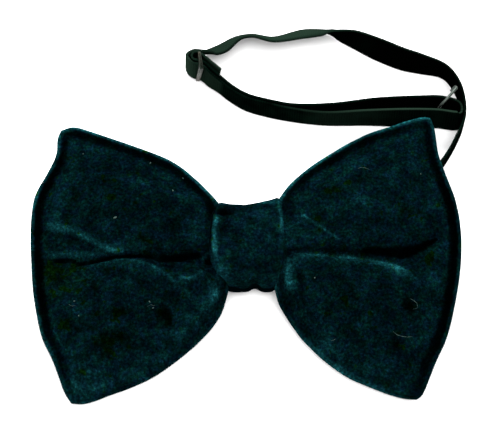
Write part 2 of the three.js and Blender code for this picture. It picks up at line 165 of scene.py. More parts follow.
def faceOutwards(piece, merge=0):
    # points within merge mm of each other are joined first
    selectOnly(piece)
    bpy.ops.object.mode_set(mode="EDIT")
    bpy.ops.mesh.select_all(action="SELECT")
    if merge:
        bpy.ops.mesh.remove_doubles(threshold=merge * mm)
    bpy.ops.mesh.normals_make_consistent(inside=False)
    bpy.ops.object.mode_set(mode="OBJECT")


def useModifier(piece, kind, **settings):
    selectOnly(piece)
    bpy.ops.object.modifier_add(type=kind)
    step = piece.modifiers[-1]
    for name, value in settings.items():
        setattr(step, name, value)
    bpy.ops.object.modifier_apply(modifier=step.name)


def readMesh(piece, what):
    values = np.zeros(len(piece.data.vertices) * 3)
    piece.data.vertices.foreach_get(what, values)
    return values.reshape(-1, 3)


def spotsOf(piece):
    return readMesh(piece, "co") / mm


def moveTo(piece, spots):
    piece.data.vertices.foreach_set("co", (np.asarray(spots) * mm).ravel())
    piece.data.update()


def setAttribute(piece, name, values):
    layer = piece.data.attributes.get(name) or piece.data.attributes.new(name, "FLOAT", "POINT")
    layer.data.foreach_set("value", np.asarray(values, np.float32))


def getAttribute(piece, name):
    values = np.zeros(len(piece.data.vertices), np.float32)
    piece.data.attributes[name].data.foreach_get("value", values)
    return values.astype(float)


def finishPiece(piece, material, slotName, *nodes):
    piece.data.materials.clear()
    piece.data.materials.append(material)
    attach(piece, "root")
    if nodes:
        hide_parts(*nodes)
    print("piece", piece.name, len(piece.data.polygons), "faces")


# Material nodes

def feed(tree, socket, value):
    # a socket takes another socket's output, a colour or a number
    if isinstance(value, bpy.types.NodeSocket):
        tree.links.new(value, socket)
    else:
        socket.default_value = (*value, 1) if socket.type == "RGBA" else value


def addNode(tree, kind, inputs, output=0, **settings):
    # inputs and output are named or numbered as in the node
    node = tree.nodes.new("ShaderNode" + kind)
    node.location = (180 * len(tree.nodes) - 3000, 0)
    for name, value in settings.items():
        setattr(node, name, value)
    for socket, value in inputs.items():
        feed(tree, node.inputs[socket], value)
    return node.outputs[output]


def lumpsOf(tree, scale, detail, roughness=0.5):
    # noise on Object coordinates; scale is in lumps per metre, one for all axes or one for each
    spot = addNode(tree, "TexCoord", {}, "Object")
    scales = scale if isinstance(scale, tuple) else (scale,) * 3
    placed = addNode(tree, "Mapping", {"Vector": spot, "Scale": scales})
    inputs = {"Vector": placed, "Scale": 1.0, "Detail": detail, "Roughness": roughness}
    return addNode(tree, "TexNoise", inputs, "Fac")


def attributeOf(tree, name):
    return addNode(tree, "Attribute", {}, "Fac", attribute_name=name)


def mathOf(tree, operation, *values, **settings):
    return addNode(tree, "Math", dict(enumerate(values)), operation=operation, **settings)


def rangeOf(tree, value, low, high, toLow=0, toHigh=1):
    inputs = {"Value": value, "From Min": low, "From Max": high, "To Min": toLow, "To Max": toHigh}
    return addNode(tree, "MapRange", inputs, "Result")


def mixOf(tree, share, a, b):
    # a colour mix has its share in input 0, its colours in 6 and 7, and its result in output 2
    return addNode(tree, "Mix", {0: share, 6: a, 7: b}, 2, data_type="RGBA")


def reliefOf(tree, height, strength, distance):
    return addNode(tree, "Bump", {"Height": height, "Strength": strength, "Distance": distance})


def startMaterial(name):
    material = bpy.data.materials.new(name)
    material.use_nodes = True
    return material, material.node_tree


def finishMaterial(material, **inputs):
    # the inputs of its surface, with _ for a space
    surface = material.node_tree.nodes["Principled BSDF"]
    for name, value in inputs.items():
        feed(material.node_tree, surface.inputs[name.replace("_", " ")], value)
    return material


# Camera, floor and lights

shot = {"target": (0.2, 9.2, 6.0), "elevation": 70, "distance": 613.3, "lens": 140}  # mm, degrees
studio = {  # metres, watts
    "floor": (0.96, 0.96, 0.96), "floorSize": 6, "surround": 1.25,
    "key": {"power": 22, "place": (-0.10, 0.85, 0.62), "size": 0.35},
    "top": {"power": 12, "place": (0.15, -0.1, 1.1), "size": 0.8},
}


def addCamera():
    lift = math.radians(shot["elevation"])
    back = Vector((0, -math.cos(lift), math.sin(lift))) * shot["distance"]
    place = (Vector(shot["target"]) + back) * mm
    bpy.ops.object.camera_add(location=place, rotation=(math.pi / 2 - lift, 0, 0))
    camera = bpy.context.object
    camera.data.lens = shot["lens"]
    camera.data.sensor_width = 36
    camera.data.clip_start = 0.01
    bpy.context.scene.camera = camera


def addLamp(name):
    values = studio[name]
    bpy.ops.object.light_add(type="AREA", location=values["place"])
    lamp = bpy.context.object
    lamp.name = name
    lamp.data.energy = values["power"]
    lamp.data.size = values["size"]
    lamp.rotation_euler = (-Vector(values["place"])).to_track_quat("-Z", "Y").to_euler()


def addStudio():
    bpy.ops.mesh.primitive_plane_add(size=studio["floorSize"], location=(0, 0, 0))
    floor = bpy.context.object
    floor.name = "floor"
    paint, _ = startMaterial("pale floor")
    floor.data.materials.append(finishMaterial(paint, Base_Color=studio["floor"], Roughness=0.9))
    world = bpy.data.worlds.new("white room")
    bpy.context.scene.world = world
    world.use_nodes = True
    background = world.node_tree.nodes["Background"]
    background.inputs["Color"].default_value = (1, 1, 1, 1)
    background.inputs["Strength"].default_value = studio["surround"]
    addLamp("key")
    addLamp("top")
    bpy.context.scene.view_settings.view_transform = "Standard"


addCamera()
addStudio()
print("stage: camera, floor and lights")


# Materials: colours, lumps per metre, ranges of the noise, and relief in metres

velvet = {
    "teal": (0.00022, 0.00275, 0.00360), "green": (0.00020, 0.00310, 0.00265),
    "blue": (0.00030, 0.00222, 0.00415), "moss": (0.00024, 0.00185, 0.00025),
    # lit is the colour that painted light turns the pile towards, fully at litStops stops
    "lit": (0.00027, 0.00285, 0.00325), "litStops": 2,
    "hueLumps": 520, "greenFrom": (0.45, 0.62), "blueFrom": (0.52, 0.36),
    "mossLumps": 420, "mossFrom": (0.63, 0.70), "patchPull": 0.20, "patchShare": 0.75,
    "driftLumps": 210, "driftFrom": (0.3, 0.7), "driftStops": 2.1,
    "grainLumps": 1150, "grainRough": 0.7, "grainStops": 8.6, "relief": 0.00015,
    "rough": 0.9, "sheen": 0.012, "sheenRoughness": 0.30, "sheenTint": (0.12, 0.45, 0.60),
    "stopsFrom": -6, "stopsTo": 4,
}


def velvetMaterial():
    # a piece's painted-light attribute holds the stops of painted light, below 0 painted shade, on its
    # pile, with crushed pile's darkening added in; its moss attribute says how crushed it is
    material, tree = startMaterial("velvet pile")
    hue = lumpsOf(tree, velvet["hueLumps"], detail=3.0)
    crush = lumpsOf(tree, velvet["mossLumps"], detail=4.0)
    drift = lumpsOf(tree, velvet["driftLumps"], detail=3.0)
    grain = lumpsOf(tree, velvet["grainLumps"], detail=3.0, roughness=velvet["grainRough"])
    patches = attributeOf(tree, "moss")
    paintedLightAndCrush = attributeOf(tree, "paintedLightAndCrush")
    crushed = mathOf(tree, "MULTIPLY_ADD", patches, velvet["patchPull"], crush)
    mossy = rangeOf(tree, crushed, *velvet["mossFrom"])
    mossy = mathOf(tree, "MULTIPLY_ADD", patches, velvet["patchShare"], mossy, use_clamp=True)
    colour = mixOf(tree, rangeOf(tree, hue, *velvet["greenFrom"]), velvet["teal"], velvet["green"])
    colour = mixOf(tree, rangeOf(tree, hue, *velvet["blueFrom"]), colour, velvet["blue"])
    # painted light turns the pile towards the lit colour
    colour = mixOf(tree, rangeOf(tree, paintedLightAndCrush, 0, velvet["litStops"]), colour, velvet["lit"])
    colour = mixOf(tree, mossy, colour, velvet["moss"])
    half = velvet["driftStops"] / 2
    sway = rangeOf(tree, drift, *velvet["driftFrom"], -half, half)
    stops = mathOf(tree, "MULTIPLY_ADD", grain, velvet["grainStops"], -velvet["grainStops"] / 2)
    # the painted light and shade are added to the grain and the drift, in stops
    for other in (sway, paintedLightAndCrush):
        stops = mathOf(tree, "ADD", stops, other)
    lifted = mathOf(tree, "POWER", 2, stops)
    colour = addNode(tree, "VectorMath", {0: colour, "Scale": lifted}, operation="SCALE")
    relief = reliefOf(tree, grain, strength=0.7, distance=velvet["relief"])
    return finishMaterial(
        material, Base_Color=colour, Roughness=velvet["rough"], Specular_IOR_Level=0.0, Normal=relief,
        Sheen_Weight=velvet["sheen"], Sheen_Roughness=velvet["sheenRoughness"],
        Sheen_Tint=velvet["sheenTint"])


woven = {
    "face": (0.00015, 0.00085, 0.00050), "rib": (0.00070, 0.00330, 0.00210),
    # lit is the colour of painted light on the ribbon; dark serves its random dark patches and painted
    # shade
    "dark": (0.00012, 0.00022, 0.00014), "lit": (0.0092, 0.0190, 0.0128),
    "ribs": 1250, "relief": 0.00010, "fleckLumps": 2600, "fleckFrom": (0.35, 0.75), "fleckShare": 0.6,
    "patchLumps": 210, "lightFrom": (0.48, 0.66), "lightShare": 0.9,
    "darkFrom": (0.46, 0.34), "darkShare": 0.7,
}


def ribbonMaterial():
    # the ribbon's own map runs along it in u and across it in v, both in metres
    material, tree = startMaterial("woven ribbon")
    own = addNode(tree, "UVMap", {}, uv_map="run")
    along = addNode(tree, "SeparateXYZ", {"Vector": own}, "X")
    turns = mathOf(tree, "MULTIPLY", along, woven["ribs"] * 2 * math.pi)
    wave = mathOf(tree, "SINE", turns)
    flecks = lumpsOf(tree, woven["fleckLumps"], detail=2.0)
    patches = lumpsOf(tree, woven["patchLumps"], detail=3.0)
    # painted light, and below 0 painted shade, carried by the ribbon's shine attribute
    shine = attributeOf(tree, "shine")  # how light or, below 0, how dark it looks
    colour = woven["face"]
    for share, other in (
        (rangeOf(tree, wave, -1, 1), "rib"),
        (rangeOf(tree, flecks, *woven["fleckFrom"], 0, woven["fleckShare"]), "face"),
        (rangeOf(tree, patches, *woven["lightFrom"], 0, woven["lightShare"]), "rib"),
        (rangeOf(tree, patches, *woven["darkFrom"], 0, woven["darkShare"]), "dark"),
        (rangeOf(tree, shine, 0, -1), "dark"),
        (rangeOf(tree, shine, 0, 1), "lit"),
    ):
        colour = mixOf(tree, share, colour, woven[other])
    relief = reliefOf(tree, wave, strength=0.7, distance=woven["relief"])
    return finishMaterial(material, Base_Color=colour, Roughness=0.7, Specular_IOR_Level=0.0, Normal=relief)


metal = {
    "slide": {"bright": (0.055, 0.058, 0.047), "dull": (0.052, 0.040, 0.029), "metallic": 0.95,
              "rough": (0.30, 0.50), "footWear": 0.8},
    "wire": {"bright": (0.040, 0.050, 0.044), "dull": (0.027, 0.025, 0.019), "metallic": 0.9,
             "rough": (0.26, 0.46), "footWear": 0.0},
    # the dark colour that the darkened attribute mixes in
    "darkened": (0.0025, 0.0055, 0.0035), "foot": 0.0045,
    "wearLumps": (520, 520, 260), "wearFrom": (0.52, 0.68), "wearShare": 0.8,
    "scratches": (6000, 6000, 400), "scratchFrom": (0.3, 0.7), "relief": 0.00005,
}


def metalMaterial(name, look):
    # the foot of a piece is more worn than its top, and its darkened attribute says where it is painted
    # darker: painted shade on the slide's top rail, and a darker tip on the hook
    material, tree = startMaterial(name)
    lumps = lumpsOf(tree, metal["wearLumps"], detail=4.0)
    wear = rangeOf(tree, lumps, *metal["wearFrom"], 0, metal["wearShare"])
    scratches = lumpsOf(tree, metal["scratches"], detail=2.0)
    spot = addNode(tree, "TexCoord", {}, "Object")
    height = addNode(tree, "SeparateXYZ", {"Vector": spot}, "Z")
    foot = rangeOf(tree, height, metal["foot"], 0, 0, look["footWear"])
    colour = mixOf(tree, wear, look["bright"], look["dull"])
    colour = mixOf(tree, foot, colour, look["dull"])
    colour = mixOf(tree, attributeOf(tree, "darkened"), colour, metal["darkened"])
    rough = rangeOf(tree, scratches, *metal["scratchFrom"], *look["rough"])
    relief = reliefOf(tree, scratches, strength=0.25, distance=metal["relief"])
    return finishMaterial(
        material, Base_Color=colour, Metallic=look["metallic"], Roughness=rough, Normal=relief)


velvetPile = velvetMaterial()
wovenRibbon = ribbonMaterial()
slideMetal = metalMaterial("slide metal", metal["slide"])
claspWire = metalMaterial("clasp wire", metal["wire"])
print("stage: materials")


# The bow: two sewn wings and the waist between them, padded, in mm

bow = {
    "wingSteps": 58, "lobeSteps": 33, "waistSteps": 5, "knotCrowding": 1.2, "edgeCrowding": 1.45,
    "bead": 1.0, "channel": 0.55, "channelAt": 1.9, "channelHalf": 0.8, "padFrom": 1.3, "dome": 0.62,
    "backPad": 0.35, "rest": 0.15, "rimFuller": 0.2, "foldRound": 0.8,
    "waistMiddle": 9.5, "waistDeep": 6.0, "waistHigh": 11.2, "waistRound": 2.3, "waistSpread": 0.16,
    "knotMiddle": 0.4, "gathers": 3.5, "gatherDeep": 0.55, "gatherReach": 0.42,
    "pressure": 3.0, "frames": 20, "quality": 6, "mass": 0.3, "stretch": 12, "bend": 0.4,
    "scaledUp": 25, "mostMove": 1.6, "heldRim": (1.6, 3.4), "heldWaist": (12, 15), "heldFold": (0.8, 2.4),
    "foldHold": 0.9, "foldFrom": 10.5, "foldLong": 57,
    "channelFrom": (0.02, 0.10), "backChannel": 0.5, "throatSize": 0.35, "frontFacing": (0.0, 0.4),
    "lumps": [(0.22, 9.0), (0.12, 3.5), (0.05, 1.2)], "beadLump": (0.10, 5.0), "backLumps": 0.6,
    # stops of painted shade in the seam's hollow, of painted light on the seam, and of painted shade over
    # the middles; glowAt and glowHalf place the painted light a little way in from the seam
    "stops": {"hollow": -4.4, "seam": 1.3, "middle": -0.35}, "glowAt": 3.4, "glowHalf": 1.8,
    # how far in from the seam these begin or end, in mm
    "clearFrom": (1.2, 3.6), "hollowFrom": (0.6, 1.5), "hollowTo": (2.4, 4.4), "middleFrom": (7, 17),
    "seamTo": (0.1, 0.6), "brimTo": (0.5, 2.1),
    # how uneven these are: level, sway and lumps in mm
    "raggedSeam": (0, 0.35, 2.2), "unevenGlow": (0.7, 0.6, 4.0), "unevenSheen": (0.8, 0.5, 3.0),
    "raggedMoss": (1, 0.7, 1.6),
}
loft = table(
    "out thick",
    (0, 9.1), (0.12, 8.4), (0.3, 6.8), (0.6, 5.2), (0.85, 4), (1, 3),
)
# Each wing's outline, the height of its back over the table, and its long fold: where that lies, how deep
# it is and how far its two banks reach. out runs from the knot (0) to the outer edge (1)
leftWing = {
    "top": [
        (-9.3, 11.2), (-10.1, 15.9), (-15.4, 22.8), (-25, 31.2), (-38, 36.9), (-51.1, 41.6),
        (-56.6, 42.9), (-60.6, 41.8),
    ],
    "bottom": [
        (-6.4, -10.3), (-7.1, -15.2), (-10.4, -22.6), (-18.1, -30.9), (-30.3, -40), (-42.6, -45.2),
        (-50, -47.9), (-54.6, -47.9),
    ],
    "side": [
        (-54.6, -47.9), (-57.1, -44), (-60.6, -34.7), (-64.6, -26.4), (-67.3, -14.1), (-68.7, -0.7),
        (-69.1, 10), (-68.2, 19.2), (-64.5, 27), (-61.9, 33), (-61.6, 38.8), (-60.6, 41.8),
    ],
    "back": table(
        "out bottom middle top",
        (0, 3.4, 3.4, 3.4),
        (0.2, 2.6, 5.3, 3.6),
        (0.4, 1.2, 3.7, 2.4),
        (0.7, 0.5, 1.6, 1.6),
        (1, 0.4, 1.8, 2.6),
    ),
    "fold": table(
        "out y deep above below",
        (0, -3.4, 1.4, 3, 8),
        (0.15, -3, 3, 2.6, 10),
        (0.3, -4.2, 3.2, 2.4, 4),
        (0.48, -2.4, 2.4, 1.8, 2),
        (0.66, -3.6, 2.2, 5.6, 2.2),
        (0.85, -3.1, 1.5, 11.5, 5),
        (1, -3, 0, 12, 8),
    ),
}
rightWing = {
    "top": [
        (9, 11.2), (9.5, 17.2), (13.8, 23.3), (21.2, 29.1), (34.9, 36.7), (46.6, 40.5), (54, 42.6),
        (57.4, 42.4),
    ],
    "bottom": [
        (7.4, -10.1), (8.5, -15), (10.3, -18.7), (17.3, -28.9), (28, -38.4), (39.1, -43.9), (47, -46.4),
        (51.4, -46.8),
    ],
    "side": [
        (51.4, -46.8), (53.6, -44.6), (57.6, -35.1), (61.2, -27.5), (64.2, -15), (65.9, -2.5), (65.9, 7),
        (64.6, 15.4), (61.9, 23.1), (59.5, 31.1), (58.7, 38.5), (57.4, 42.4),
    ],
    "back": table(
        "out bottom middle top",
        (0, 3.4, 3.4, 3.4),
        (0.2, 2.6, 4, 4.4),
        (0.4, 2, 4.8, 6),
        (0.7, 1.4, 7.6, 9.4),
        (1, 1, 8.8, 11.2),
    ),
    "fold": table(
        "out y deep above below",
        (0, -2, 1.2, 1.8, 1.8),
        (0.25, -2.1, 2.1, 1.8, 2),
        (0.48, -3.9, 2.8, 3, 2),
        (0.63, -5.3, 3.4, 5.6, 2.6),
        (0.76, -2.9, 2.8, 4.6, 9),
        (0.87, 0.4, 1.4, 3.6, 13),
        (1, 3, 0, 4, 14),
    ),
}
# The seam round each wing, from the throat's bottom (0) past both tips (0.28 and 0.72) to its top:
# how much painted shade lies in the hollow inside the seam, as a share, and how many stops of painted
# light, below 0 painted shade, lie on the seam itself (brim) and on the pad a little way in from it (glow)
leftWing["seam"] = table(
    "out hollow brim glow",
    (0, 0, 0.3, 1.3), (0.05, 0, 0.1, 0.2), (0.12, 0, 0.1, 0.4), (0.19, 0, -0.5, 0.7), (0.24, 0, 0.2, 1.6),
    (0.28, 0, 1.2, 2.9), (0.31, 0.1, 1.4, 1.6), (0.35, 0.35, 0.4, 0.4), (0.4, 0.6, 1.5, 0),
    (0.45, 0.95, 1.2, 0), (0.5, 1, 0.2, 0), (0.55, 0.8, 2.2, 0), (0.59, 0.85, 1.3, -0.4),
    (0.63, 0.8, 1.9, -0.2), (0.68, 0.35, 2.1, 0), (0.73, 0.4, 2.4, -0.1), (0.78, 0.6, 2.7, -1.1),
    (0.84, 0.7, 1.9, -1), (0.93, 0.65, 2.6, -1.5), (1, 0.6, 2.1, -0.6),
)
rightWing["seam"] = table(
    "out hollow brim glow",
    (0, 0, 2.9, 1.7), (0.04, 0, 1, 0.4), (0.08, 0.2, -0.9, 0.2), (0.12, 0, 1.5, 1.1), (0.17, 0, 1.9, 1.3),
    (0.21, 0, 0.6, 0.9), (0.26, 0, -0.9, 0.5), (0.29, 0.1, -0.5, 0.3), (0.33, 0.25, -0.1, 0),
    (0.37, 0.75, -0.1, 0), (0.42, 1, -0.1, 0), (0.5, 1, 0.4, -0.3), (0.56, 0.95, 0.5, 0),
    (0.6, 0.9, 1.2, 0), (0.64, 0.45, 1.2, 0), (0.68, 0.55, 1.5, 0), (0.72, 0.3, 2, -0.6),
    (0.76, 0.1, 2.6, -0.6), (0.82, 0.6, 2.4, -1.1), (0.87, 0.65, 2.8, -1), (0.93, 0.5, 3, -1.2),
    (1, 0, 1.8, -0.4),
)
# Creases, ridges and dents on the front, each from left to right or downwards: high is its height at
# the line in mm, stops how many stops of painted light, below 0 painted shade, it carries there, ends
# how much of it fades at its start and finish, and up and down how far it reaches on its two sides in mm,
# each one number or one for each point. A broken one has gaps of that depth, and a firm one has sharp sides
strokes = table(
    "high stops ends up down points broken firm",
    # left upper ridge
    (0.55, 2.5, (0.1, 0.12), [1.9, 1.9, 1.8, 1.6, 1.4, 1.3, 1.2], [1.7, 1.7, 1.6, 1.4, 1.3, 1.2, 1],
     [(-64.8, 8.2), (-61.5, 7.9), (-57.5, 7), (-53.2, 5.1), (-48.4, 2.4), (-44.3, 0.4), (-40.5, -1)]),
    # left ridge glint
    (0, 0.4, (0.45, 0.12), 0.5, 0.5,
     [(-61, 7.8), (-57.5, 7), (-53.2, 5.1), (-48.4, 2.4), (-44.3, 0.4), (-41.2, -0.8)]),
    # left hollow
    (-0.6, -0.3, (0.3, 0.3), 2.2, 1.6,
     [(-61, 3.2), (-55, 2.4), (-50.5, 0.6), (-47, -0.6)]),
    # left bank
    (0.1, 1.9, (0.08, 0.35), 1.7, 1.2,
     [(-64.2, -0.8), (-58, -1), (-52, -1.4), (-46, -0.8), (-40, -0.6), (-33, -0.7), (-24, -1.2)]),
    # left valley
    (-0.5, -4, (0.06, 0.04), [0.6, 0.8, 0.8, 0.7, 0.8, 0.7, 0.4, 0.4, 0.8, 1.5, 1.3, 1, 0.8, 0.5],
     [0.5, 0.7, 0.7, 0.7, 0.7, 0.6, 0.35, 0.35, 0.8, 1.3, 1.1, 0.9, 0.6, 0.4],
     [(-63, -3.1), (-59.5, -2.9), (-55.5, -3), (-53.4, -4.1), (-49, -3.7), (-44.1, -2.8), (-39.5, -2.5),
      (-35, -2.6), (-31, -3.2), (-27.5, -4.1), (-24.4, -4.1), (-21, -3.7), (-18, -3.3), (-14.3, -3.1)],
     0.5, True),
    # left lower ridge
    (0.35, 1.4, (0.25, 0.15), 1, 1.7,
     [(-55.9, -9.2), (-53.6, -7.7), (-48.9, -5.2), (-44, -4), (-39.2, -4), (-34.2, -5.3), (-29.3, -7.4),
      (-24.4, -10.7), (-21.6, -13.4), (-17.5, -16.4), (-13.9, -18.8)]),
    # left lip
    (0.1, 1.3, (0.3, 0.3), 0.5, 0.6,
     [(-52.5, -5.2), (-46.5, -3.4), (-43, -3), (-38.9, -3.2), (-34.5, -4.5), (-30, -6.6), (-25, -9.9),
      (-21.8, -12.8)]),
    # left pocket
    (-0.8, -0.8, (0.3, 0.3), 1.8, 1.6,
     [(-29, -6.3), (-24, -7.4), (-19, -7.8), (-16, -7)]),
    # left short fold
    (0.7, 2.2, (0.3, 0.15), 0.9, 1.2,
     [(-23.4, -9.6), (-20.2, -10.8), (-16.8, -10.4), (-14, -7.7)]),
    # left throat fold
    (0.5, 1.7, (0.2, 0.4), 2, 3,
     [(-8.4, -12.6), (-9.6, -15.5), (-11.6, -20), (-13.4, -24.5)]),
    # left second fold
    (0.4, 0.7, (0.3, 0.4), 1, 1,
     [(-12.9, -15.5), (-14.8, -20.5), (-16.4, -26), (-17.4, -29.5)]),
    # left third fold
    (0.3, 0.8, (0.3, 0.4), 1, 1.2,
     [(-17.8, -19.5), (-19.8, -25), (-21.3, -31)]),
    # right valley
    (-0.3, -0.6, (0.02, 0.05), [0.36, 0.36, 0.42, 0.6, 0.8], [0.28, 0.28, 0.34, 0.45, 0.6],
     [(11, -1.7), (15.7, -1.5), (24.4, -2), (31.3, -2.6), (37, -3.2)],
     0.7, True),
    # right wedge
    (-0.5, -4.4, (0.05, 0.08), [0.4, 1.1, 1.5, 1.6, 1.7, 1.6, 1.4, 1.1, 0.9, 0.6, 0.4],
     [0.4, 0.7, 1, 1.2, 1.5, 1.4, 1.2, 0.9, 0.7, 0.5, 0.4],
     [(34.5, -2.3), (37.5, -2.5), (41.5, -2.7), (45, -2.7), (47.5, -2.7), (49.8, -2.1), (51.6, -1.5),
      (54.2, -0.4), (55.9, 0.5), (57.6, 1.4), (59.2, 2.2)],
     0.25, True),
    # right lower ridge
    (0.35, 2, (0.05, 0.35), 0.9, 2.5,
     [(11.8, -2.5), (18.8, -2.8), (24.4, -3.2), (30.8, -4), (37.1, -4.9), (42.7, -6.3), (46.2, -7.6),
      (49.7, -9.7), (53.1, -12.1), (55.7, -14.1)]),
    # right lip
    (0, 1.5, (0.15, 0.4), 0.55, 0.6,
     [(12.3, -2.2), (18.8, -2.5), (24.4, -2.9), (30.8, -3.6), (37.1, -4.4), (41, -5.2)]),
    # right ridge glow
    (0.1, 0.95, (0.4, 0.4), 1.2, 2.2,
     [(34, -4.4), (40, -5.4), (44, -6.6), (48.5, -8.8), (52.5, -11.6)]),
    # right crease
    (0.28, 2.6, (0.12, 0.2), 0.5, 0.5,
     [(16.2, 10.5), (17.8, 9.2), (21.5, 6), (26.1, 2.5), (31, -0.4)]),
    # right bulge
    (0.6, 2.8, (0.12, 0.3), 2.4, 1.3,
     [(11.8, -3.2), (11.8, -6.5), (11.9, -9.5), (12.5, -12.6), (13.9, -15.8)]),
    # right throat fold
    (-0.4, -1.9, (0.3, 0.5), 1.2, 1.6,
     [(15.4, -7), (15.8, -12), (17.3, -18)]),
    # beside the knot
    (0, -0.4, (0.2, 0.2), 0.8, 0.5,
     [(-12.9, 10.5), (-13.2, 6), (-13.4, 1), (-13.4, -3)]),
)
# How every stroke is drawn: how far its line strays (level, sway and lumps in mm), the size of the noise
# that its gaps follow in mm and where that opens them, and how fast a stroke fades away from its line
stroking = {
    "ragged": (0, 0.25, 1.3), "gapLumps": 3.4, "gapFrom": (-0.05, 0.35), "steep": 1.4, "soft": 2, "firm": 4,
}
# Broad patches of painted light, and below 0 stops painted shade: x, y, reach in mm, stops
sheens = [
    (-49.5, -39, 4, 1.1), (-53, -42, 3, 0.8), (-34.5, -33.5, 3, 0.8), (-24, -26, 3, 0.8),
    (-16.5, -20.5, 2.6, 0.7), (33.5, 13, 3.4, 1.6), (51.5, 25.5, 2.6, 0.7), (24.5, -28, 2.8, 0.6),
    (38.5, -36, 3.2, 0.7), (-61.5, 10, 2.5, 0.5), (-10.6, -13, 2.5, 2.6), (12.4, 13.6, 3, 1.2),
    (11.8, 6.5, 3, 0.9), (11.8, 1, 2.6, 0.8), (20, 4.5, 5, 0.5), (-25, 7, 8, -0.9), (-45, 23, 9, -0.35),
    (-20, -5, 3.5, -0.4),
]
# Small patches where the pile is crushed to a dark moss green: x, y, reach in mm, stops
mossPatches = [
    (-43.9, -28.8, 2.1, -0.6), (-44.1, -32.1, 1.8, -0.5), (-47.3, -29, 1.1, 0), (-39.9, -28.2, 1.5, -1),
    (-42.3, -33.2, 1, 0), (-37.4, -31.1, 0.9, 0), (-39, -21, 1.3, -0.6), (-40.9, -21.2, 1.3, -0.6),
    (-47.1, -21.3, 1, -0.5), (-56.1, -24.5, 1.2, 0), (-58, -24.7, 1.3, 0), (-26, -21.6, 2, -3.2),
    (-25.1, -24.2, 1.4, -1.6), (-47.9, -12.3, 1, -0.3), (-44.3, -7, 0.7, -0.8), (-54.6, -4.4, 1.4, 0),
    (-63.1, -6.8, 1.8, 0), (-62.6, -3.7, 1.6, 0), (-61.2, -6.2, 1.8, 0), (-51.8, -38.6, 1, 0),
    (-54.8, 17.1, 1, 0), (-57.4, 9.6, 0.9, 0), (-59.9, 5, 0.9, 0), (-35.4, 26, 0.9, 0),
    (-44.3, 16.9, 1.1, -0.3), (-42.3, 16.8, 1, -0.5), (-35.9, 14.4, 0.8, -1.3), (-34.4, 3.2, 1, -0.5),
    (-33.2, 2.2, 0.9, -1.5), (-31.3, 1.5, 0.8, -0.3), (-31.9, -1.6, 1, 0), (50, 10.2, 1.2, 0),
    (47.5, 10, 1.1, 0), (52.9, 10, 0.8, 0), (21.7, 4.5, 1, 0), (21.7, 8.8, 0.8, 0), (25.7, -3.2, 1, 0),
    (29.4, -1.6, 1, 0), (35, -4, 1, 0), (42.6, -42.5, 1.1, 0), (29.4, -18.1, 1, -0.3),
    (30, -19.3, 0.8, -0.5), (33.4, -17.2, 0.8, -1), (23.9, -21.8, 0.9, -1), (37.1, -22.7, 0.7, -0.3),
    (31.6, -26.6, 0.9, -0.8), (45.4, -31.4, 0.8, -1.5), (49.8, -20, 1.8, -3), (56.7, -4.5, 1, -1),
    (55.8, -4.2, 1.2, 0), (24.3, 17.5, 1, 0), (27.1, 18, 1.2, 0), (29, 17.1, 0.8, 0),
    (37.5, 22.2, 0.7, 0), (31.5, 20.1, 0.9, 0),
]
mossShade = {"at": (-57.5, -9.5), "reach": (6.8, 5.5), "share": 0.65}  # a broader greenish area
# A dent beside the knot, with painted shade inside it and a painted highlight arching over it
dimple = {"at": (-12.6, -4.7), "ring": 1.3, "deep": 1.0, "darkReach": 0.95, "dark": 5.0,
          "archUp": 0.5, "archFrom": 1.8, "archHalf": 0.5, "arch": 1.8}


def wingPatch(wing, out, up):
    # the wing's outline patch: a row for each value of out, a column for each value of up in it
    top, bottom, side = (alongCurve(wing[name]) for name in ("top", "bottom", "side"))
    low, high = bottom(np.zeros(1))[0], top(np.zeros(1))[0]
    tipLow, tipHigh = bottom(np.ones(1))[0], top(np.ones(1))[0]
    o, u = out[:, None, None], up[:, :, None]
    across = mix(bottom(out)[:, None, :], top(out)[:, None, :], u)
    sideways = mix(mix(low, high, u), side(up), o)
    corners = mix(mix(low, tipLow, o), mix(high, tipHigh, o), u)
    return across + sideways - corners


def rimLine(wing):
    # the sewn edge, from the throat's bottom round the wing to the throat's top
    bottom, side, top = (throughPoints(wing[name], stepsEach=10) for name in ("bottom", "side", "top"))
    return np.vstack([bottom, side[1:], top[::-1][1:]])


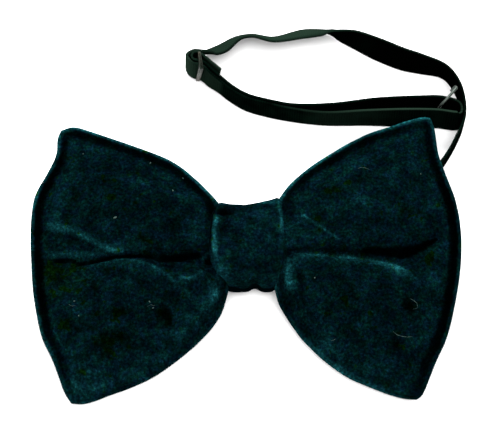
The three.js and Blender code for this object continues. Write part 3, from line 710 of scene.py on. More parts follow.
def wingHeights(wing, spots, out, up):
    # heights of the front and the back over the table, and the seam's shares
    edge, share, _ = lineDistance(spots, rimLine(wing))
    hollow, brim, glow = (column(wing["seam"], name, share) for name in ("hollow", "brim", "glow"))
    low, middle, high = (column(wing["back"], name, out) for name in ("bottom", "middle", "top"))
    line, deep, above, below = (column(wing["fold"], name, out) for name in ("y", "deep", "above", "below"))
    outerEdge = np.linalg.norm(np.subtract(wing["top"][-1], wing["bottom"][-1]))
    size = outerEdge * mix(bow["throatSize"], 1.0, out) / 2
    half = bow["bead"] * np.sqrt(np.clip(1 - (1 - np.minimum(edge / bow["bead"], 1)) ** 2, 0, 1))
    base = mix(mix(low, middle, smooth(up, 0, 0.5)), high, smooth(up, 0.5, 1)) + bow["bead"]
    inward = np.clip((edge - bow["padFrom"]) / (size - bow["padFrom"]), 0, 1)
    dome = (inward * (2 - inward)) ** bow["dome"]
    padded = column(loft, "thick", out) * dome
    channel = bow["channel"] * bell(edge, bow["channelAt"], bow["channelHalf"])
    channel = channel * smooth(out, *bow["channelFrom"])
    bank = np.where(spots[:, 1] > line, above, below)
    crease = deep * (1 - smooth(np.abs(spots[:, 1] - line), 0, bank) ** bow["foldRound"])
    fan = bow["gatherDeep"] * (1 - smooth(out, 0, bow["gatherReach"])) * np.sin(math.pi * up)
    fan *= np.cos(2 * math.pi * bow["gathers"] * up)
    front = base + half + padded - channel - crease + fan
    back = base - half + bow["backChannel"] * channel - bow["backPad"] * dome
    aside = np.clip(np.abs(spots[:, 1] - bow["knotMiddle"]) / bow["waistHigh"], 0, 1)
    waistHalf = bow["waistDeep"] * (1 - aside ** bow["waistRound"]) ** (1 / bow["waistRound"])
    inKnot = 1 - smooth(out, 0, bow["waistSpread"])
    front = mix(front, bow["waistMiddle"] + waistHalf, inKnot)
    back = mix(back, bow["waistMiddle"] - waistHalf, inKnot)
    return front, np.minimum(back, front), edge, hollow, brim, glow


def wingSheets(wing):
    # the wing's front and back as grids of points, then the seam's shares on the same grid
    steps = np.arange(bow["wingSteps"] + 1) / bow["wingSteps"]
    out = 1 - (1 - steps ** bow["knotCrowding"]) ** bow["edgeCrowding"]
    lobe = 0.5 - 0.5 * np.cos(math.pi * np.arange(bow["lobeSteps"] + 1) / bow["lobeSteps"])
    ends = wingPatch(wing, out, np.tile([0.0, 1.0], (len(out), 1)))
    foldUp = (column(wing["fold"], "y", out) - ends[:, 0, 1]) / (ends[:, 1, 1] - ends[:, 0, 1])
    up = np.hstack([foldUp[:, None] * lobe, (foldUp[:, None] + (1 - foldUp[:, None]) * lobe)[:, 1:]])
    spots = wingPatch(wing, out, up)
    heights = wingHeights(wing, spots.reshape(-1, 2), np.repeat(out, up.shape[1]), up.ravel())
    front, back, *shares = (values.reshape(up.shape) for values in heights)
    return np.dstack([spots, front]), np.dstack([spots, back]), *shares


def sheetFaces(rows, columns, start, flip):
    faces = []
    for i in range(rows - 1):
        for j in range(columns - 1):
            a = start + i * columns + j
            quad = (a, a + 1, a + columns + 1, a + columns)
            faces.append(quad[::-1] if flip else quad)
    return faces


def buildBow():
    joined = []
    for ours, theirs in zip(wingSheets(leftWing), wingSheets(rightWing)):
        waist = [mix(ours[0], theirs[0], i / bow["waistSteps"]) for i in range(1, bow["waistSteps"])]
        joined.append(list(ours[::-1]) + waist + list(theirs))
    front, back, *shares = joined
    rows, columns = len(front), len(front[0])
    faces = sheetFaces(rows, columns, 0, True) + sheetFaces(rows, columns, rows * columns, False)
    piece = newPiece("velvetBow", np.vstack([np.vstack(front), np.vstack(back)]), faces)
    for name, values in zip(("edge", "hollow", "brim", "glow"), shares):
        setAttribute(piece, name, np.tile(np.concatenate(values), 2))
    setAttribute(piece, "front", np.repeat([1, 0], rows * columns))
    faceOutwards(piece, merge=0.002)
    return piece


def heldShare(piece):
    # how firmly each point is held: the sewn rim and the waist fully, the long folds nearly so
    x, y, _ = spotsOf(piece).T
    edge = getAttribute(piece, "edge")
    held = np.maximum(1 - smooth(edge, *bow["heldRim"]), 1 - smooth(np.abs(x), *bow["heldWaist"]))
    foldPlace = np.clip((np.abs(x) - bow["foldFrom"]) / bow["foldLong"], 0, 1)
    for wing, onWing in ((leftWing, x < 0), (rightWing, x > 0)):
        away = np.abs(y - column(wing["fold"], "y", foldPlace))
        onFold = bow["foldHold"] * (1 - smooth(away, *bow["heldFold"]))
        held = np.where(onWing, np.maximum(held, onFold), held)
    return held


def puff(piece, held):
    # cloth under air pressure, worked at a larger scale, with the sewn lines held and each move capped
    before = spotsOf(piece)
    piece.data.vertices.foreach_set("co", (before * mm * bow["scaledUp"]).ravel())
    group = piece.vertex_groups.new(name="held")
    for index, weight in enumerate(held):
        if weight > 0.01:
            group.add([index], float(weight), "REPLACE")
    selectOnly(piece)
    bpy.ops.object.modifier_add(type="CLOTH")
    cloth = piece.modifiers[-1]
    cloth.settings.quality = bow["quality"]
    cloth.settings.mass = bow["mass"]
    cloth.settings.tension_stiffness = cloth.settings.compression_stiffness = bow["stretch"]
    cloth.settings.bending_stiffness = bow["bend"]
    cloth.settings.vertex_group_mass = "held"
    cloth.settings.use_pressure = True
    cloth.settings.uniform_pressure_force = bow["pressure"]
    cloth.settings.effector_weights.gravity = 0
    cloth.point_cache.frame_start = 1
    cloth.point_cache.frame_end = bow["frames"]
    for number in range(1, bow["frames"] + 1):
        bpy.context.scene.frame_set(number)
    shaped = piece.evaluated_get(bpy.context.evaluated_depsgraph_get())
    after = np.zeros(len(before) * 3)
    shaped.to_mesh().vertices.foreach_get("co", after)
    shaped.to_mesh_clear()
    bpy.ops.object.modifier_remove(modifier=cloth.name)
    piece.vertex_groups.clear()
    move = after.reshape(-1, 3) / mm / bow["scaledUp"] - before
    length = np.linalg.norm(move, axis=1)
    capped = np.minimum(length, bow["mostMove"])
    moveTo(piece, before + move * (capped / np.maximum(length, 1e-9))[:, None])
    bpy.context.scene.frame_set(1)
    print("puffed", piece.name, "mean move %.2f, most %.2f" % (length.mean(), length.max()))


bowPiece = buildBow()
puff(bowPiece, heldShare(bowPiece))
useModifier(bowPiece, "SUBSURF", levels=1, render_levels=1)
print("stage: bow padded")


def strokeEffect(spots):
    # height, and painted light and shade, that the strokes add at each spot of the front
    high, paintedLightAndCrush = np.zeros(len(spots)), np.zeros(len(spots))
    flat = np.column_stack([spots, np.zeros(len(spots))])
    ragged = nearlyEven(flat, *stroking["ragged"], 6)
    gaps = smooth(noiseAt(flat, stroking["gapLumps"], 7), *stroking["gapFrom"])
    for stroke in strokes:
        distance, share, side = lineDistance(spots, throughPoints(stroke["points"], stepsEach=6))
        distance = np.maximum(0, distance + ragged)
        places = np.linspace(0, 1, len(stroke["points"]))
        reaches = (np.broadcast_to(stroke[name], len(places)) for name in ("up", "down"))
        up, down = (np.interp(share, places, reach) for reach in reaches)
        start, finish = stroke["ends"]
        ends = smooth(share, 0, start) * (1 - smooth(share, 1 - finish, 1))
        reach = np.where(side > 0, up, down)
        power = stroking["firm" if stroke.get("firm") else "soft"]
        near = np.exp(-stroking["steep"] * (distance / reach) ** power) * ends
        high += stroke["high"] * near
        paintedLightAndCrush += stroke["stops"] * near * (1 - stroke.get("broken", 0) * gaps)
    return high, paintedLightAndCrush


def dressBow(piece):
    spots, facings = spotsOf(piece), readMesh(piece, "normal")
    x, y, _ = spots.T
    edge, hollow, brim, glow = (getAttribute(piece, name) for name in ("edge", "hollow", "brim", "glow"))
    front = np.clip(getAttribute(piece, "front"), 0, 1) * smooth(facings[:, 2], *bow["frontFacing"])
    high, paintedLightAndCrush = strokeEffect(spots[:, :2])
    dimpleX, dimpleY = dimple["at"]
    away = np.hypot(x - dimpleX, y - dimpleY)
    high -= dimple["deep"] * bell(away, 0, dimple["ring"])
    # painted shade inside the dent, and a painted highlight on the arch over it
    paintedLightAndCrush -= dimple["dark"] * bell(away, 0, dimple["darkReach"], 4)
    arch = np.hypot(x - dimpleX, y - dimpleY - dimple["archUp"])
    paintedLightAndCrush += dimple["arch"] * bell(arch, dimple["archFrom"], dimple["archHalf"]) * smooth(y - dimpleY, 0, 1)
    clear = smooth(edge, *bow["clearFrom"])
    lumps = unevenness(spots, bow["lumps"], 1)
    bead = bow["rimFuller"] + unevenness(spots, [bow["beadLump"]], 4)
    lift = front * clear * (high + lumps) + (1 - front) * clear * lumps * bow["backLumps"]
    moved = spots + facings * (lift + (1 - clear) * bead)[:, None]
    moved[:, 2] = np.maximum(moved[:, 2], bow["rest"])
    moveTo(piece, moved)
    # painted shade in the hollow just inside the seam, along a ragged line
    fromSeam = edge + nearlyEven(spots, *bow["raggedSeam"], 5)
    band = smooth(fromSeam, *bow["hollowFrom"]) * (1 - smooth(fromSeam, *bow["hollowTo"])) * hollow
    stopsOf = bow["stops"]
    # painted light along the seam and its brim, below 0 painted shade
    seam = (1 - smooth(edge, *bow["seamTo"])) * stopsOf["seam"] + (1 - smooth(edge, *bow["brimTo"])) * brim
    # painted light on the pad a little way in from the seam, below 0 painted shade
    glow = glow * bell(edge, bow["glowAt"], bow["glowHalf"]) * nearlyEven(spots, *bow["unevenGlow"], 8)
    # broad patches of painted light and shade
    unevenSheen = nearlyEven(spots, *bow["unevenSheen"], 9)
    for placeX, placeY, reach, stops in sheens:
        paintedLightAndCrush += stops * bell(np.hypot(x - placeX, y - placeY), 0, reach) * unevenSheen
    shadeX, shadeY = (bell(spots[:, k], mossShade["at"][k], mossShade["reach"][k]) for k in (0, 1))
    moss = mossShade["share"] * shadeX * shadeY
    ragged = nearlyEven(spots, *bow["raggedMoss"], 10)
    # crushed pile: a share of moss colour, and its own darkening added in with the painted light
    for placeX, placeY, reach, stops in mossPatches:
        crushed = bell(np.hypot(x - placeX, y - placeY) * ragged, 0, reach)
        moss += crushed
        paintedLightAndCrush += stops * crushed
    setAttribute(piece, "moss", np.clip(moss, 0, 1) * front)
    # painted shade over the middles of the wings
    middle = stopsOf["middle"] * smooth(edge, *bow["middleFrom"])
    paintedLightAndCrush = paintedLightAndCrush * clear + stopsOf["hollow"] * band + middle + glow
    setAttribute(piece, "paintedLightAndCrush", np.clip(front * paintedLightAndCrush + seam, velvet["stopsFrom"], velvet["stopsTo"]))


dressBow(bowPiece)
finishPiece(bowPiece, velvetPile, "velvet", "bow")
print("stage: bow dressed")


# Lint on the pile: specks as (x, y, length, turn in degrees) and hairs as lines, in mm

lint = {
    "thick": 0.13, "thicker": 0.15, "hairThick": 0.07, "above": 0.6, "endShare": 0.5, "sides": 5,
    "fluffLumps": 900, "fluffFrom": (0.35, 0.65),
    "colour": (0.009, 0.021, 0.022), "speckColour": (0.040, 0.064, 0.055),
}
lintSpecks = [
    (-42.1, 9.7, 1.1, 20), (-31.6, 29.7, 0.6, 60), (-54.3, -16.9, 0.6, 10), (-52.8, -21.6, 0.5, 70),
    (-30.8, -18, 0.6, 130), (-29.7, -19.9, 0.6, 40), (-53.1, 32.7, 0.4, 0), (-21.1, 24.2, 0.5, 150),
    (-24.1, 18.9, 0.6, 100), (53.8, 22.7, 0.4, 0), (20.2, -10.9, 0.5, 60),
]
lintHairs = [
    [(34.1, 24.7), (35.1, 25.1), (36.2, 24.9), (37.6, 24.2)],
    [(25.1, -29.4), (25.8, -29.5), (26.5, -29.1)],
    [(44.1, -27.5), (45.4, -28.4), (46.9, -28.8), (48.6, -29), (50.2, -28.7)],
    [(49.4, -17.5), (50.7, -18.1), (51.6, -18.9), (51.8, -19.7), (51.6, -20.4), (50.3, -20.7)],
    [(-56, -17.8), (-55, -18.4), (-54, -18.3)], [(-31.5, -19.4), (-30.4, -18.9), (-29.2, -19.2)],
]


def layFibre(line, radius, points, faces):
    # a thin fibre along a line on the pile, thinner at its ends
    heights = []
    for x, y in line:
        _, place, _, _ = bowPiece.ray_cast(Vector((x, y, 40)) * mm, Vector((0, 0, -1)))
        heights.append(place.z / mm + radius * lint["above"])
    path = np.column_stack([line, heights])
    sides, first = lint["sides"], len(points)
    for i, (spot, run) in enumerate(zip(path, runsAlong(path))):
        aside = np.cross(run, (0, 0, 1))
        above = np.cross(aside, run)
        size = radius * (lint["endShare"] if i in (0, len(path) - 1) else 1)
        for k in range(sides):
            turn = 2 * math.pi * k / sides
            points.append(spot + (aside * math.cos(turn) + above * math.sin(turn)) * size)
    for i in range(len(path) - 1):
        a = first + i * sides
        b = a + sides
        faces += [(a + k, a + (k + 1) % sides, b + (k + 1) % sides, b + k) for k in range(sides)]
    faces.append(tuple(range(first, first + sides))[::-1])
    faces.append(tuple(range(len(points) - sides, len(points))))


def lintMaterial():
    material, tree = startMaterial("lint")
    share = rangeOf(tree, lumpsOf(tree, lint["fluffLumps"], detail=3.0), *lint["fluffFrom"])
    colour = mixOf(tree, share, lint["colour"], lint["speckColour"])
    return finishMaterial(material, Base_Color=colour, Roughness=0.9, Specular_IOR_Level=0.0)


def buildLint():
    points, faces = [], []
    for x, y, long, turn in lintSpecks:
        lean = math.radians(turn)
        step = np.array((math.cos(lean), math.sin(lean))) * long / 3
        line = [np.array((x, y)) + step * k for k in (-1.5, -0.5, 0.5, 1.5)]
        layFibre(line, lint["thick"] + long * lint["thicker"], points, faces)
    for line in lintHairs:
        layFibre(line, lint["hairThick"], points, faces)
    piece = newPiece("lintOnPile", points, faces)
    faceOutwards(piece, merge=0.002)
    return piece


lintPiece = buildLint()
finishPiece(lintPiece, lintMaterial(), "velvet")
print("stage: lint")


# The knot: a velvet sleeve round the waist, in mm

knot = {
    "high": 17.6, "halfHeight": 13.4, "middleY": 0.4, "backRadius": 5, "frontRadius": 7.5, "wall": 1.8,
    "crown": 0.5, "cornerSteps": 10, "flatStep": 0.8, "roll": 1.5, "rollDeep": 1.0, "backShare": 0.86,
    "ridge": 0.45, "ridgeIn": 1.7, "ridgeHalf": 1.0, "lumps": [(0.18, 5.0), (0.09, 1.8)],
    "sideShares": [0.89, 0.94, 0.98, 1], "frontShare": 0.83, "frontSteps": 21, "inside": 0.97,
    "backTurn": (-0.6, 0.4), "frontFacing": (-0.2, 0.3), "lumpsFrom": (0, 3),
    # stops of painted light, and below 0 painted shade, on parts of the sleeve's front and its lower edge
    "stops": {"front": 0.1, "upperRight": 0.3, "ridge": 2.3, "ridgeMiddle": 1.0, "rightSide": 2.1,
              "topEdge": 2.3, "leftRim": -3.5, "underEdge": -3.4, "lowerEdge": 0.8},
    # where that painted light and shade lies, in mm across or up the front, in from a side, or over the
    # table; topLess is the share of the top edge's painted light that goes towards its right end
    "rightFrom": (-3, 7), "upperFrom": (-6, 6), "ridgeFrom": (-9, -4), "ridgeTo": (6, 10),
    "ridgeMiddleAt": -2.5, "ridgeMiddleHalf": 3.0, "ridgeLitHalf": 0.95,
    "sideAt": 0.8, "sideHalf": 0.6, "sideFrom": (-3, 5), "sideTo": (9, 12),
    "topFrom": (11.6, 13.6), "topLess": 0.8, "topLessFrom": (4, 7.5),
    "rimTo": (0.4, 1.0), "rimFrom": (-5, 0),
    "underDown": (6, 9), "underTo": (7.6, 9.4), "lowerDown": (8.5, 12.0), "lowerFrom": (8.4, 10.2),
}
knotSides = table(  # the sleeve's two sides up its front, from its middle
    "y left right",
    (-13.4, -7.1, 8.6), (-11, -10.4, 9.9), (-8, -12, 10.5), (-2.7, -12.6, 11), (2.8, -12.4, 10.9),
    (8, -11.8, 10.5), (11.5, -10.7, 9.9), (13.4, -10, 9.4),
)
knotTop = table(  # how far the sleeve's top edge stands up across it
    "x rise",
    (-10, 0.3), (-6.5, -0.1), (-2, -0.6), (2, 0.1), (6, 1.1), (9.5, 2.4),
)
# the stops of these dents and patches are painted shade, and above 0 painted light
knotPatches = table(  # dents and patches of its front, with how many stops lighter or darker they are
    "x y wideX wideY deep stops",
    (-8.8, -10, 3, 3, 0, 1),
    (-8.1, 8.9, 2.4, 1.1, 0.8, -4.6),
    (6.2, 11.2, 2, 0.7, 0.5, -2.6),
    (-7.6, 3, 1.4, 6, 0.3, -1.3),
    (-5, -2, 2, 7, 0, -0.4),
    (1.6, -12.4, 1.3, 0.9, 0.5, -2.2),
)
# A small fold in the sleeve's lower edge, and the wavy shadow under it
notch = {"x": 1.7, "wide": 1.5, "deep": 1.1, "waves": 0.9, "waveHigh": 0.9}


def knotSection():
    # the sleeve seen from the side, with even steps along its flats and corners: y, z and the way it faces
    back, front = knot["backRadius"], knot["frontRadius"]
    frontZ = knot["high"] - front
    section = []
    for side, start, radius, z in ((-1, 180, back, back), (1, 270, back, back), (1, 0, front, frontZ),
                                   (-1, 90, front, frontZ)):
        for i in range(knot["cornerSteps"] + 1):
            turn = math.radians(start + 90 * i / knot["cornerSteps"])
            y = side * (knot["halfHeight"] - radius) + radius * math.cos(turn)
            section.append((y, z + radius * math.sin(turn), math.cos(turn), math.sin(turn)))
    full = []
    for here, there in zip(section, section[1:] + section[:1]):
        count = max(1, round(math.hypot(there[0] - here[0], there[1] - here[1]) / knot["flatStep"]))
        full += [tuple(mix(a, b, i / count) for a, b in zip(here, there)) for i in range(count)]
    return full


def knotEdges(y):
    return (readTable(knotSides, "y", name, y) for name in ("left", "right"))


def knotRise(x, y):
    fold = notch["deep"] * bell(x, notch["x"], notch["wide"])
    top = readTable(knotTop, "x", "rise", x) * smooth(y, 2, knot["halfHeight"])
    return top + fold * smooth(-y, 5, knot["halfHeight"])


def buildKnot():
    side, front = knot["sideShares"], knot["frontShare"]
    places = [-place for place in side[::-1]] + list(np.linspace(-front, front, knot["frontSteps"])) + side
    rings = []
    for y, z, faceY, faceZ in knotSection():
        narrower = mix(knot["backShare"], 1, smooth(faceZ, *knot["backTurn"]))  # round the back
        left, right = (edge * narrower for edge in knotEdges(y))
        ring = []
        for across in [*places, knot["inside"], 0, -knot["inside"]]:  # the outside, then the inside back
            x = mix(left, right, (across + 1) / 2)
            out = -knot["wall"]
            if len(ring) < len(places):
                inFrom = min((1 - abs(across)) * (right - left) / 2 / knot["roll"], 1)
                rolled = knot["rollDeep"] * (1 - math.sqrt(max(0, 1 - (1 - inFrom) ** 2)))
                forward = max(0, faceZ)
                ridge = knot["ridge"] * forward * bell(x, left + knot["ridgeIn"], knot["ridgeHalf"])
                out = knot["crown"] * forward * (1 - across ** 2) + ridge - rolled
            middle = y + knot["middleY"] + knotRise(x, y)
            ring.append((x, middle + faceY * out, z + faceZ * out))
        rings.append(ring)
    size = len(rings[0])
    faces = []
    for i in range(len(rings)):
        a, b = i * size, (i + 1) % len(rings) * size
        faces += [(a + j, b + j, b + (j + 1) % size, a + (j + 1) % size) for j in range(size)]
    piece = newPiece("velvetKnot", np.array(rings).reshape(-1, 3), faces)
    faceOutwards(piece, merge=0.002)
    useModifier(piece, "SUBSURF", levels=1, render_levels=1)
    return piece


def dressKnot(piece):
    spots, facings = spotsOf(piece), readMesh(piece, "normal")
    x, y, z = spots.T
    stops = knot["stops"]
    lift = unevenness(spots, knot["lumps"], 11)
    onFront = smooth(facings[:, 2], *knot["frontFacing"])
    upperRight = smooth(x, *knot["rightFrom"]) * smooth(y, *knot["upperFrom"])
    # painted light over the sleeve's front, a little more towards its upper right
    paintedLightAndCrush = stops["front"] + stops["upperRight"] * upperRight
    # dents, with their painted light and shade
    for patch in knotPatches:
        near = bell(x, patch["x"], patch["wideX"]) * bell(y, patch["y"], patch["wideY"])
        lift -= patch["deep"] * near * onFront
        paintedLightAndCrush += patch["stops"] * near
    left, right = knotEdges(y - knot["middleY"])
    # a painted highlight along the ridge near the left side
    ridge = stops["ridge"] * smooth(y, *knot["ridgeFrom"]) * (1 - smooth(y, *knot["ridgeTo"]))
    ridge += stops["ridgeMiddle"] * bell(y, knot["ridgeMiddleAt"], knot["ridgeMiddleHalf"])
    paintedLightAndCrush += ridge * bell(x - left, knot["ridgeIn"], knot["ridgeLitHalf"])
    # a painted highlight down the right side
    rightSide = bell(right - x, knot["sideAt"], knot["sideHalf"]) * smooth(y, *knot["sideFrom"])
    paintedLightAndCrush += stops["rightSide"] * rightSide * (1 - smooth(y, *knot["sideTo"]))
    # a painted highlight along the top edge, less towards its right end
    topEdge = smooth(y, *knot["topFrom"]) * (1 - knot["topLess"] * smooth(x, *knot["topLessFrom"]))
    paintedLightAndCrush += stops["topEdge"] * topEdge
    # painted shade along the left rim
    paintedLightAndCrush += stops["leftRim"] * (1 - smooth(x - left, *knot["rimTo"])) * smooth(y, *knot["rimFrom"])
    paintedLightAndCrush *= onFront
    # painted shade along the wavy lower edge, and painted light just above it
    scallop = z - notch["waveHigh"] * np.cos((x - notch["x"]) * notch["waves"])
    paintedLightAndCrush += stops["underEdge"] * (1 - smooth(scallop, *knot["underTo"])) * smooth(-y, *knot["underDown"])
    paintedLightAndCrush += stops["lowerEdge"] * smooth(-y, *knot["lowerDown"]) * smooth(scallop, *knot["lowerFrom"])
    moveTo(piece, spots + facings * (lift * smooth(z, *knot["lumpsFrom"]))[:, None])
    setAttribute(piece, "paintedLightAndCrush", np.clip(paintedLightAndCrush, velvet["stopsFrom"], velvet["stopsTo"]))
    setAttribute(piece, "moss", np.zeros(len(spots)))


knotPiece = buildKnot()
dressKnot(knotPiece)
finishPiece(knotPiece, velvetPile, "velvet", "knot_band")
print("stage: knot")


# The neck strap: one woven ribbon through its stations, in mm

ribbon = {
    "width": 9.5, "thick": 0.85, "corner": 0.24, "stepsEach": 8,
    # places across each face, as shares, with how near an edge each lies
    "across": [(0.04, 0.6), (0.1, 0.0), (0.22, 0.0), (0.36, 0.0), (0.5, 0.0), (0.64, 0.0), (0.78, 0.0),
               (0.9, 0.0), (0.96, 0.6)],
    # how far a face must turn up to take its share of painted light from above, and an edge its painted
    # highlight
    "skyFacing": (0.12, 0.50), "edgeFacing": (0.3, 0.9),
}
# The ribbon's middle line, how far its upper edge lies from its lower edge, seen from above, and how high
# its lowest edge is
stations = table(
    "x y tipX tipY lift",
    # folded round the eye
    (-16.5, 0, 0, 9.5, 3.4), (-19.6, 0, 0, 9.5, 3.45), (-22.6, 0, 0, 9.5, 3.45),
    (-23.55, 0, 0, 9.5, 3.05), (-23.95, 0, 0, 9.5, 2.1), (-23.55, 0, 0, 9.5, 1.15),
    (-22.6, 0, 0, 9.5, 0.75), (-18, 0, 0, 9.5, 0.75), (-13.5, 0, 0, 9.5, 1.7),
    # through the knot
    (-9.5, 0, 0, 9.5, 2.6), (0, 0, 0, 9.5, 2.6), (9.5, 0, 0, 9.5, 2.6),
    # under the right wing, turning up on its edge
    (15.5, 1.2, -2, 9.29, 1.2), (24, 4.4, -4, 8.61, 0.85), (33, 9, -4.7, 8.15, 0.6),
    (41, 14, -4.7, 7.2, 0.5), (49, 19.4, -3.4, 4.8, 0.4), (55.5, 24, -1.6, 1.9, 0.3),
    # beside the right wing
    (60, 28, -0.1, 0.3, 0.3), (63, 32, 0.1, 0.1, 0.3), (66.35, 38.1, -0.1, 0.1, 0.3),
    (68.85, 44.2, 0, 0, 0.3), (69.1, 50, 0, 0.1, 0.3), (67.4, 56.6, 0.3, 0.45, 0.3),
    # the far strand
    (63.6, 62.05, 0.4, 0.35, 0.3), (55.65, 65, 0.6, 2.6, 0.3), (49.8, 66.85, 0.9, 3.65, 0.3),
    (42, 70.3, 1.2, 3.55, 0.3), (34.2, 73.75, 0.4, 1.75, 0.3), (28.4, 75.3, -0.2, -1.6, 0.3),
    (24.6, 75.9, 0, -4.8, 0.3), (18.6, 76.2, 0.5, -6.1, 0.3), (8.1, 74, 0.2, -5.2, 0.3),
    (0.8, 75.3, 0.2, -4.6, 0.3), (-3.7, 74.4, 1.5, -4.6, 0.3), (-9, 70.8, 2.9, -5.4, 0.4),
    (-12.6, 69.1, 1.6, -5.2, 0.7),
    # the turn to the left of the slide
    (-15, 68.3, 0.2, -2.4, 1), (-18.3, 67.8, 0.3, -1.2, 1.2), (-20.4, 65.6, 0.3, 0.1, 1.2),
    (-19.5, 63.4, 0.5, 0.8, 1.2), (-18.1, 62.2, 0.2, 1, 1.2),
    # through the slide and along the near side
    (-16.5, 61.9, 0, 1.2, 1.2), (-14.9, 61.05, 0.1, 1.35, 1.1), (-13, 59.2, 0.4, 0.9, 1),
    (-9.7, 56.7, 0.2, 0.3, 0.8), (-6.3, 53.95, 0.2, 0.3, 0.5), (-1.2, 50.85, 0.2, 0.5, 0.3),
    (5.4, 48.8, 0.2, 0.7, 0.3), (13.2, 47, 0.1, 0.5, 0.3), (24, 45.6, 0, 0.4, 0.3),
    (38, 45.95, 0, 1.25, 0.3), (50, 46, 0, 2.1, 0.3), (60.5, 45.7, 0, 2.5, 0.3),
    (67.4, 45.1, 0, 2.3, 0.3),
    # round the hook and back
    (68.1, 46.9, 0, 0.95, 0.3), (67.2, 49.3, 0, 0.4, 0.3), (61.6, 50.9, 0, 0.8, 0.3),
    (54.8, 50.9, 0, 0.9, 0.3), (41.3, 50.3, 0, 0.8, 0.3), (26, 48.5, 0, 0.5, 0.3),
    (13.6, 48.4, 0.1, 0.5, 0.3), (5.8, 49.85, 0.2, 0.7, 0.3), (-0.6, 51.8, 0.2, 0.5, 0.3),
    (-5.4, 54.65, 0.2, 0.3, 0.5), (-8.8, 57.4, 0.2, 0.3, 0.8), (-12.1, 60.35, 0.3, 0.5, 1.1),
    # looped round the slide's far bar, with its cut tail
    (-14.6, 62.65, 0.1, 0.8, 1.2), (-16.9, 63.4, 0, 0.83, 1.2), (-18.1, 63.85, 0, 0.83, 1.2),
    (-18.6, 64.95, 0, 0.83, 1.2), (-18.1, 66.05, 0, 0.83, 1.2), (-16.9, 66.4, 0, 0.83, 1.2),
    (-14.2, 64.3, 0.4, 1, 1.2), (-12.1, 62, 1.1, 1.4, 1.1), (-9.9, 60.1, 1.1, 1.4, 1),
)
# How far the ribbon curls across, in mm, along the stations
ribbonCurl = table("station high", (27, 0), (28.5, 0.5), (29.3, 1.3), (30.3, 1.1), (31.5, 0.4), (33, 0))
# How much painted light the ribbon's upper edge and its faces carry along the stations, below 0 painted
# shade, and how much painted light its faces take where they turn up
ribbonShine = table(
    "station edge face sky",
    (0, 0.08, -0.5, 0.39), (16, 0.08, -0.5, 0.39), (18, 0.05, -0.6, 0.1), (21, 0.03, -0.8, -0.2),
    (24, 0.05, -1, -1), (27, 0.15, -1, -1), (28.3, 0.25, -1, 0.1), (29.3, 0.3, -0.9, 0.45),
    (31, 0.4, -0.4, 0.66), (33, 0.35, -0.2, 0.58), (36, 0.15, 0, 0.4), (38, 0.6, 0.95, 0.7),
    (39.5, 0.7, 0.95, 0.7), (41, 0.2, 0.5, 0.4), (42, 0.2, 0.35, 0.3), (43, 0.1, 0.3, 0.3),
    (44, -0.2, 0.33, 0.3), (45, -0.3, 0.3, 0.2), (46, -0.3, -0.35, -0.3), (47.5, -0.1, -0.45, -0.4),
    (49, 0.15, -0.1, 0), (50, 0.3, 0.2, 0.15), (51, 0.75, 0.14, 0), (52, 0.95, 0, 0),
    (54, 0.85, -0.25, 0), (55.5, 0.3, -0.7, -0.6), (58, 0.04, -1, -1), (64.5, 0, -0.9, -0.6),
    (65.5, -0.2, -0.6, 0), (67, -0.2, -0.4, 0), (68.5, 0.3, -0.4, 0), (72, 0.3, -0.2, 0.1),
    (73, 0.35, 0.5, 0.5), (75, 0.5, 0.65, 0.65),
)


def ribbonProfile():
    # across and through in mm, with round corners, and how near an edge each point is
    corner = ribbon["corner"]
    wide, thick = ribbon["width"] / 2 - corner, ribbon["thick"] / 2 - corner
    profile = []
    for sideA, sideB, start in ((1, 1, 90), (1, -1, 0), (-1, -1, -90), (-1, 1, 180)):
        for degrees in (start, start - 45, start - 90):
            turn = math.radians(degrees)
            spot = (sideA * wide + corner * math.cos(turn), sideB * thick + corner * math.sin(turn), 1.0)
            profile.append(spot)
    full = []
    for here, there in zip(profile, profile[1:] + profile[:1]):
        full.append(here)
        if math.dist(here, there) > ribbon["width"] / 3:
            for share, edge in ribbon["across"]:
                full.append((mix(here[0], there[0], share), mix(here[1], there[1], share), edge))
    return full


def shineStrap(piece, places, edged):
    # painted light and shade along the ribbon by station, with more painted light where it turns up
    upwards = readMesh(piece, "normal")[:, 2]
    edge, face, sky = (readTable(ribbonShine, "station", name, places) for name in ("edge", "face", "sky"))
    face = mix(face, np.maximum(face, sky), smooth(upwards, *ribbon["skyFacing"]))
    setAttribute(piece, "shine", mix(face, edge, edged * smooth(upwards, *ribbon["edgeFacing"])))


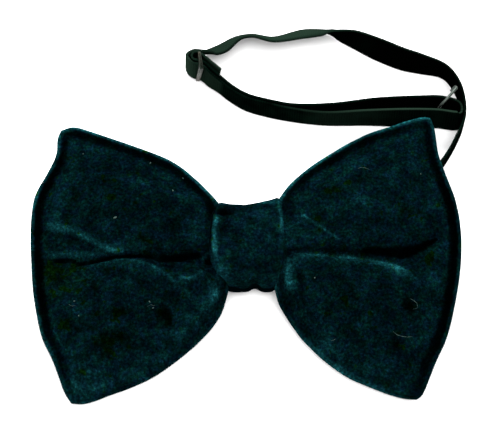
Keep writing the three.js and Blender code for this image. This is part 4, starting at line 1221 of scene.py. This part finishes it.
def buildStrap():
    middles, widths = [], []
    for row in stations:
        rise = math.sqrt(max(0, ribbon["width"] ** 2 - row["tipX"] ** 2 - row["tipY"] ** 2))
        middles.append((row["x"], row["y"], row["lift"] + rise / 2))
        widths.append((row["tipX"], row["tipY"], rise))
    path = throughPoints(middles, ribbon["stepsEach"], evened=True)
    turned = throughPoints(widths, ribbon["stepsEach"])
    runs = runsAlong(path)
    turned -= runs * (turned * runs).sum(1)[:, None]
    turned /= np.linalg.norm(turned, axis=1)[:, None]
    profile = ribbonProfile()
    size, count = len(profile), len(path)
    places = np.arange(count) / ribbon["stepsEach"]
    curls = readTable(ribbonCurl, "station", "high", places)
    points, along = [], []
    through = np.cross(runs, turned)
    for spot, across, thick, curl, run in zip(path, turned, through, curls, lengthsAlong(path)):
        for a, b, _ in profile:
            bent = curl * (1 - (2 * a / ribbon["width"]) ** 2)
            points.append(spot + across * a + thick * (b + bent))
            along.append((run * mm, a * mm))
    faces = [(i * size + j, i * size + (j + 1) % size, (i + 1) * size + (j + 1) % size, (i + 1) * size + j)
             for i in range(count - 1) for j in range(size)]
    faces += [tuple(range(size))[::-1], tuple(range((count - 1) * size, count * size))]
    piece = newPiece("wovenStrap", points, faces)
    mapped = piece.data.uv_layers.new(name="run")
    for loop in piece.data.loops:
        mapped.data[loop.index].uv = along[loop.vertex_index]
    faceOutwards(piece)
    shineStrap(piece, np.repeat(places, size), np.tile([edge for _, _, edge in profile], count))
    return piece


strapPiece = buildStrap()
finishPiece(strapPiece, wovenRibbon, "ribbon", "neck_strap")
print("stage: strap")


# The slide: a flat rectangular ring across the strap, in mm

slide = {
    "across": 5.9, "high": 11.3, "thick": 0.8, "wire": 0.7, "round": 0.2, "nearWider": 1.7,
    "at": (-16.5, 63.4, 6.2), "lean": -4, "tilt": -7, "swing": -8,  # degrees about X, Y and Z
    # painted shade over the top rail, from railFrom up in mm, less of it by railLighter towards the far end
    "railDark": 0.95, "railFrom": (9.5, 11.0), "railLighter": 0.5, "railLighterFrom": (64.6, 65.5),
}


def buildSlide():
    bpy.ops.object.select_all(action="DESELECT")
    bpy.ops.mesh.primitive_cube_add(size=1)
    piece = bpy.context.object
    piece.name = "stripSlide"
    bpy.ops.object.mode_set(mode="EDIT")
    bpy.ops.mesh.select_all(action="SELECT")
    bpy.ops.transform.resize(value=(slide["thick"] * mm, slide["across"] * mm, slide["high"] * mm))
    bpy.ops.object.mode_set(mode="OBJECT")
    for face in piece.data.polygons:
        face.select = abs(face.normal.x) > 0.9
    for thing in list(piece.data.edges) + list(piece.data.vertices):
        thing.select = False
    bpy.ops.object.mode_set(mode="EDIT")
    bpy.ops.mesh.select_mode(type="FACE")
    bpy.ops.mesh.inset(thickness=slide["wire"] * mm, depth=0, use_individual=True)
    bpy.ops.mesh.bridge_edge_loops()
    bpy.ops.mesh.select_mode(type="VERT")
    bpy.ops.object.mode_set(mode="OBJECT")
    faceOutwards(piece)
    bpy.ops.object.mode_set(mode="EDIT")
    bpy.ops.mesh.select_all(action="DESELECT")
    bpy.ops.object.mode_set(mode="OBJECT")
    for corner in piece.data.vertices:
        corner.select = corner.co.y < -slide["across"] * mm / 4
    bpy.ops.object.mode_set(mode="EDIT")
    bpy.ops.transform.resize(value=(slide["nearWider"], 1, 1), center_override=(0, 0, 0))  # the near bar
    bpy.ops.object.mode_set(mode="OBJECT")
    useModifier(piece, "BEVEL", width=slide["round"] * mm, segments=3, limit_method="ANGLE")
    bpy.ops.object.mode_set(mode="EDIT")
    bpy.ops.mesh.select_all(action="SELECT")
    for name, axis in (("lean", "X"), ("tilt", "Y"), ("swing", "Z")):
        angle = math.radians(slide[name])
        bpy.ops.transform.rotate(value=angle, orient_axis=axis, center_override=(0, 0, 0))
    bpy.ops.transform.translate(value=tuple(Vector(slide["at"]) * mm))
    bpy.ops.object.mode_set(mode="OBJECT")
    bpy.ops.object.shade_smooth_by_angle(angle=math.radians(35))
    _, y, z = spotsOf(piece).T
    # painted shade over the top rail, weaker towards its far end
    lighter = slide["railLighter"] * smooth(y, *slide["railLighterFrom"])
    setAttribute(piece, "darkened", slide["railDark"] * (smooth(z, *slide["railFrom"]) * (1 - lighter)))
    return piece


finishPiece(buildSlide(), slideMetal, "slide_metal", "slider")
print("stage: slide")


# The clasp: a bent wire hook and a flat wire eye, in mm

clasp = {
    "hookRadius": 0.47, "hookDarkened": 0.3, "hookDarkenedFrom": (51.5, 53.5),
    "eyeRadius": 0.45, "eyeSize": (8.2, 11.9), "eyeCorner": 1.6, "barX": -22.6, "barZ": 2.1,
}
hookPoints = [
    (61, 48.1, 1.2), (61, 48.1, 4.8), (61, 48.1, 8.2), (61.5, 48.4, 9.8), (62.8, 49.5, 10.7),
    (64.5, 51.4, 10.95), (65.9, 53, 11), (66.4, 53.7, 10.9), (66.2, 54.05, 10.8), (65.7, 53.9, 10.6),
    (65.2, 53.4, 10.4), (64.7, 52.8, 10.2),
]


def buildWire(name, points, radius, closed):
    bpy.ops.object.select_all(action="DESELECT")
    bpy.ops.curve.primitive_bezier_curve_add()
    piece = bpy.context.object
    piece.name = name
    piece.location = (0, 0, 0)
    spline = piece.data.splines[0]
    spline.bezier_points.add(len(points) - 2)
    for bend, place in zip(spline.bezier_points, points):
        bend.co = Vector(place) * mm
        bend.handle_left_type = bend.handle_right_type = "AUTO"
    spline.use_cyclic_u = closed
    piece.data.resolution_u = 6
    piece.data.bevel_depth = radius * mm
    piece.data.bevel_resolution = 5
    piece.data.use_fill_caps = not closed
    bpy.ops.object.convert(target="MESH")
    bpy.ops.object.shade_smooth()
    return bpy.context.object


def eyePoints():
    wire = clasp["eyeRadius"]
    halfWide, halfHigh = (size / 2 - wire for size in clasp["eyeSize"])
    corner = clasp["eyeCorner"] - wire
    middleX = clasp["barX"] - halfWide
    points = []
    for sideX, sideY, start in ((1, 1, 0), (-1, 1, 90), (-1, -1, 180), (1, -1, 270)):
        for degrees in (0, 30, 60, 90):
            turn = math.radians(start + degrees)
            points.append((middleX + sideX * (halfWide - corner) + corner * math.cos(turn),
                           sideY * (halfHigh - corner) + corner * math.sin(turn), clasp["barZ"]))
    return points


hookPiece = buildWire("bentHook", hookPoints, clasp["hookRadius"], False)
# the hook is darker towards its tip
hookTip = smooth(spotsOf(hookPiece)[:, 1], *clasp["hookDarkenedFrom"])
setAttribute(hookPiece, "darkened", clasp["hookDarkened"] * hookTip)
finishPiece(hookPiece, claspWire, "clasp_wire", "hook")
eyePiece = buildWire("wireEye", eyePoints(), clasp["eyeRadius"], True)
finishPiece(eyePiece, claspWire, "clasp_wire", "eye")
print("stage: clasp")
